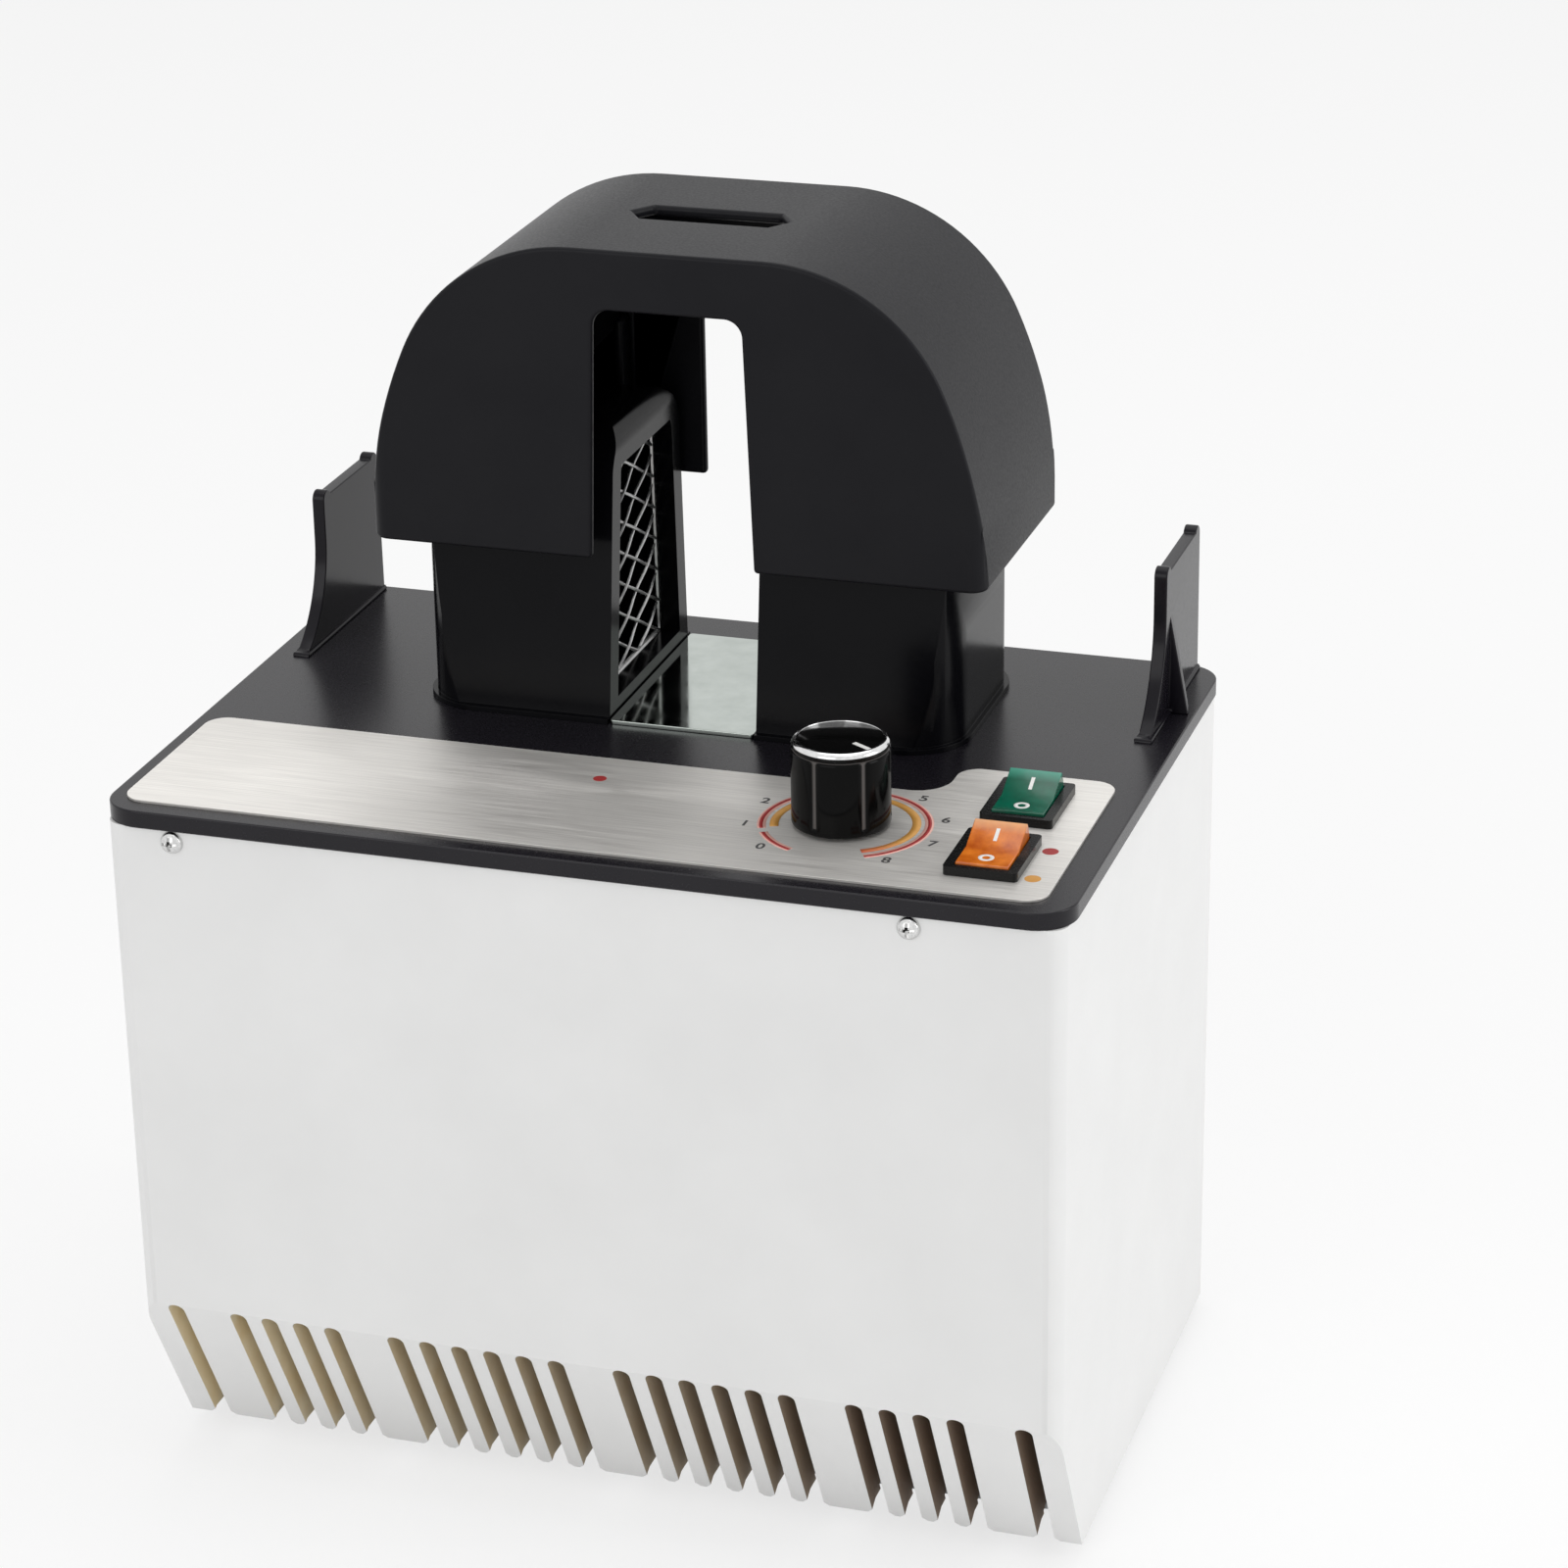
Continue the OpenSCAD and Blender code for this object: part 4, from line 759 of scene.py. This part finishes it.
def wires(name, finish):
    tree, size = new_tree(name, Radius=0.4 * MM, Weave=0.2 * MM, Pitch=RUN * MM, Middle=0.0, Sides=8)
    line = add(tree, "GeometryNodeMeshToCurve", {"Mesh": size["Geometry"]}).outputs[0]
    fine = add(tree, "GeometryNodeResampleCurve", mode="LENGTH")
    tree.links.new(line, fine.inputs["Curve"])
    fine.inputs["Length"].default_value = 1.2 * MM
    side = add(tree, "GeometryNodeInputNamedAttribute", {"Name": "side"}, data_type="FLOAT").outputs[0]
    where = add(tree, "GeometryNodeInputPosition").outputs[0]
    along = add(tree, "ShaderNodeSeparateXYZ", {0: where}).outputs["Y"]
    turns = calc(tree, "DIVIDE", calc(tree, "SUBTRACT", along, size["Middle"]), size["Pitch"])
    wave = calc(tree, "COSINE", calc(tree, "MULTIPLY", turns, 2 * math.pi))
    push = calc(tree, "MULTIPLY", calc(tree, "MULTIPLY", wave, size["Weave"]), side)
    lift = add(tree, "ShaderNodeCombineXYZ", {"X": push}).outputs[0]
    waved = add(tree, "GeometryNodeSetPosition", {"Geometry": fine.outputs[0], "Offset": lift}).outputs[0]
    ring = add(tree, "GeometryNodeCurvePrimitiveCircle", {"Radius": size["Radius"]})
    tree.links.new(size["Sides"], ring.inputs["Resolution"])
    body = add(tree, "GeometryNodeCurveToMesh", {
        "Curve": waved, "Profile Curve": ring.outputs[0], "Fill Caps": True}).outputs[0]
    end_tree(tree, body, finish)
    return tree


# %% Lines of the pattern, clipped to the duct's mouth
def clipped(start, step, walls):
    first, last = -1e9, 1e9
    for normal, limit in walls:
        rate = normal[0] * step[0] + normal[1] * step[1]
        room = limit - normal[0] * start[0] - normal[1] * start[1]
        if rate > 0:
            last = min(last, room / rate)
        else:
            first = max(first, room / rate)
    return [(start[0] + t * step[0], start[1] + t * step[1]) for t in (first, last)] if first < last else None


FRONT_LEAN, BACK_LEAN = math.radians(7), math.radians(2.5)


def mouth(node, inset):
    low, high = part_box(node)
    y0, y1, z0, z1 = low.y / MM + inset, high.y / MM - inset, low.z / MM, high.z / MM - inset
    front, back = math.tan(FRONT_LEAN), math.tan(BACK_LEAN)
    corners = [(y0, z0), (y1, z0), (y1 - back * (z1 - z0), z1), (y0 + front * (z1 - z0), z1)]
    walls = [((0, -1), -z0), ((0, 1), z1), ((-1, front), front * z0 - y0), ((1, back), y1 + back * z0)]
    return corners, walls


# %% Mesh and frame for each duct
WIRE_INSET, RIM_INSET, OUTWARD = 1.0, 1.5, {"left": -0.1, "right": 0.1}
wire_tree = wires("wires", mesh_wire)
middle = (duct_low.y + duct_high.y) / 2
for side in ("left", "right"):
    node = side + "_grille"
    low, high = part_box(node)
    plane = (low.x + high.x) / 2 / MM + OUTWARD[side]
    points, edges, sides = [], [], []
    for row in range(-4, 13):
        for lean in (1, -1):
            origin = (middle / MM, top_z / MM + row * RISE)
            ends = clipped(origin, (RUN, lean * RISE), mouth(node, WIRE_INSET)[1])
            if ends:
                edges.append((len(points), len(points) + 1))
                points += [(plane, *end) for end in ends]
                sides += [float(lean)] * 2
    start = points_mesh(node + " lines", points, edges)
    start.attributes.new("side", "FLOAT", "POINT").data.foreach_set("value", sides)
    net = grow(side + "_mesh", wire_tree, start, Middle=middle)
    fit(net, "chassis", "wire", node)
    corners = mouth(node, RIM_INSET)[0]
    rim = points_mesh(node + " rim", [(plane, *c) for c in corners], [(0, 1), (1, 2), (2, 3), (3, 0)])
    fit(grow(side + "_mesh_rim", wire_tree, rim, Radius=0.7 * MM, Weave=0.0), "chassis", "wire")

# %% [markdown]
# ## Cover screws
# Four pan-head screws hold the cover, two at the front and two at the back. Each is a squashed ball cut
# flat below, with a cross sunk into it, and a plain shank. The tree makes one screw and places it on the
# points that it is given, which is how any number of equal fasteners is best made.


# %% The screw tree
HEAD_RADIUS = 2.6


def screws(name, finish):
    tree, size = new_tree(name, Head=HEAD_RADIUS * MM, Height=2.0 * MM, Shank=1.5 * MM,
                          Length=9.0 * MM, Turn=0.0)
    ball = add(tree, "GeometryNodeMeshUVSphere", {"Radius": 1.0, "Segments": 48, "Rings": 24}).outputs["Mesh"]
    wide = add(tree, "ShaderNodeCombineXYZ", {"X": size["Head"], "Y": size["Head"], "Z": size["Height"]})
    dome = add(tree, "GeometryNodeTransform", {"Geometry": ball, "Scale": wide.outputs[0]}).outputs[0]
    cutters = []
    for x, y in ((3.2, 0.7), (0.7, 3.2)):
        bar = add(tree, "GeometryNodeMeshCube", {"Size": (x * MM, y * MM, 2 * MM)}).outputs["Mesh"]
        high = add(tree, "GeometryNodeTransform", {"Geometry": bar, "Translation": (0, 0, 1.9 * MM)})
        cutters.append(high.outputs[0])
    below = add(tree, "GeometryNodeMeshCube", {"Size": (9 * MM, 9 * MM, 4 * MM)}).outputs["Mesh"]
    sunk = add(tree, "GeometryNodeTransform", {"Geometry": below, "Translation": (0, 0, -2 * MM)})
    cut = add(tree, "GeometryNodeMeshBoolean", operation="DIFFERENCE")
    tree.links.new(dome, cut.inputs["Mesh 1"])
    for cutter in (*cutters, sunk.outputs[0]):
        tree.links.new(cutter, cut.inputs["Mesh 2"])
    rod = add(tree, "GeometryNodeMeshCylinder", {
        "Vertices": 24, "Radius": size["Shank"], "Depth": size["Length"]}).outputs["Mesh"]
    drop = add(tree, "ShaderNodeCombineXYZ", {"Z": calc(tree, "MULTIPLY", size["Length"], -0.5)}).outputs[0]
    shank = add(tree, "GeometryNodeTransform", {"Geometry": rod, "Translation": drop}).outputs[0]
    both = add(tree, "GeometryNodeJoinGeometry")
    tree.links.new(cut.outputs[0], both.inputs[0])
    tree.links.new(shank, both.inputs[0])
    facing = add(tree, "ShaderNodeCombineXYZ", {"X": calc(tree, "RADIANS", size["Turn"])}).outputs[0]
    placed = add(tree, "GeometryNodeInstanceOnPoints", {
        "Points": size["Geometry"], "Instance": both.outputs[0], "Rotation": facing}).outputs[0]
    end_tree(tree, placed, finish)
    return tree


# %% Screws at the front and the back of the cover
screw_tree = screws("pan head screws", screw_bright)
for face, turn in (("front", 90.0), ("back", -90.0)):
    node = face + "_cover_screws"
    low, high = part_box(node)
    y = (case_low.y if face == "front" else case_high.y) / MM
    z = (low.z + high.z) / 2 / MM
    ends = (low.x / MM + HEAD_RADIUS, high.x / MM - HEAD_RADIUS)
    spots = points_mesh(node + " spots", [(x, y, z) for x in ends])
    fit(grow(face + "_screws", screw_tree, spots, Turn=turn), "chassis", "screw", node)

# %% [markdown]
# ## Stage, light and camera
# The photograph was taken on a white sweep. The floor here is pale, and it is mixed with plain white for
# camera, mirror and glass rays only, so it looks white and still takes a soft shadow. The world is white
# for those rays too, and gentler for the rays that light the object. Three large lamps are the softboxes.


# %% Pale floor
def is_seen(tree):
    rays = add(tree, "ShaderNodeLightPath").outputs
    direct = calc(tree, "MAXIMUM", rays["Is Camera Ray"], rays["Is Glossy Ray"])
    return calc(tree, "MAXIMUM", direct, rays["Is Transmission Ray"])


WHITE_SHARE, FLOOR_EDGE, FLOOR_DROP = 0.7, 9.0, 0.0005
floor_pale, floor_tree, floor_shader = new_finish("floor_pale", Roughness=0.9, Specular_IOR_Level=0.1)
floor_tone = two_tones(floor_tree, grain(floor_tree, 400), (0.9, 0.9, 0.9), (0.92, 0.92, 0.92))
floor_tree.links.new(floor_tone, floor_shader.inputs["Base Color"])
glow = add(floor_tree, "ShaderNodeEmission", {"Color": (1, 1, 1, 1), "Strength": is_seen(floor_tree)})
white_share = calc(floor_tree, "MULTIPLY", is_seen(floor_tree), WHITE_SHARE)
whitened = add(floor_tree, "ShaderNodeMixShader", {
    0: white_share, 1: floor_shader.outputs[0], 2: glow.outputs[0]})
floor_tree.links.new(whitened.outputs[0], floor_tree.nodes["Material Output"].inputs["Surface"])

floor_mesh = bpy.data.meshes.new("floor")
floor_corners = [(x * FLOOR_EDGE, y * FLOOR_EDGE, 0) for x, y in ((-1, -1), (1, -1), (1, 1), (-1, 1))]
floor_mesh.from_pydata(floor_corners, [], [(0, 1, 2, 3)])
floor_mesh.materials.append(floor_pale)
floor = bpy.data.objects.new("floor", floor_mesh)
scene.collection.objects.link(floor)
floor.location.z = -FLOOR_DROP
floor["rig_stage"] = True
print("floor", 2 * FLOOR_EDGE, "m wide")

# %% White world
world = bpy.data.worlds.new("white_room")
scene.world = world
world.use_nodes = True
room = world.node_tree
LIGHTING, LOOKING = 0.6, 1.0
strength = spread(room, is_seen(room), LIGHTING, LOOKING, 0, 1)
room.nodes["Background"].inputs["Color"].default_value = (1, 1, 1, 1)
room.links.new(strength, room.nodes["Background"].inputs["Strength"])
print("world:", LIGHTING, "for light,", LOOKING, "for the camera")


# %% Softboxes
AIM = Vector((0, 0, 0.12))


def softbox(name, place, size, power):
    lamp = bpy.data.lights.new(name, "AREA")
    lamp.shape, lamp.size, lamp.size_y, lamp.energy = "RECTANGLE", size[0], size[1], power
    box = bpy.data.objects.new(name, lamp)
    scene.collection.objects.link(box)
    box.location = place
    box.rotation_euler = (AIM - Vector(place)).to_track_quat("-Z", "Y").to_euler()
    print(f"{name}: {power} W")


softbox("softbox_top", (0.1, 0.3, 1.9), (1.6, 1.6), 10)
softbox("softbox_right", (1.7, 0.1, 0.8), (0.8, 1.2), 9)
softbox("softbox_front", (-0.5, -1.9, 0.9), (1.4, 1.2), 8.5)

# %% Camera, solved from the photograph's vanishing lines
lens = bpy.data.cameras.new("camera")
lens.lens, lens.sensor_width = 104.47, 36
lens.shift_x, lens.shift_y = -0.000675, 0.01514
camera = bpy.data.objects.new("camera", lens)
scene.collection.objects.link(camera)
yaw, pitch, roll = math.radians(17.85), math.radians(22.92), math.radians(-0.919)
ahead = Vector((-math.sin(yaw) * math.cos(pitch), math.cos(yaw) * math.cos(pitch), -math.sin(pitch)))
level = ahead.cross(Vector((0, 0, 1))).normalized()
upright = level.cross(ahead)
right = math.cos(roll) * level + math.sin(roll) * upright
up = -math.sin(roll) * level + math.cos(roll) * upright
eye = Vector((0.3107, -0.8880, 0.3796 + top_z))
camera.matrix_world = Matrix((
    (right.x, up.x, -ahead.x, eye.x), (right.y, up.y, -ahead.y, eye.y), (right.z, up.z, -ahead.z, eye.z),
    (0, 0, 0, 1)))
scene.camera = camera
scene.view_settings.view_transform = "Standard"
print("camera at", [round(v, 3) for v in eye])

# %% [markdown]
# ## Close the file
# The box round the dressed model is measured, with the stage left out.

# %% Measure the box of the dressed model
low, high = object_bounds()
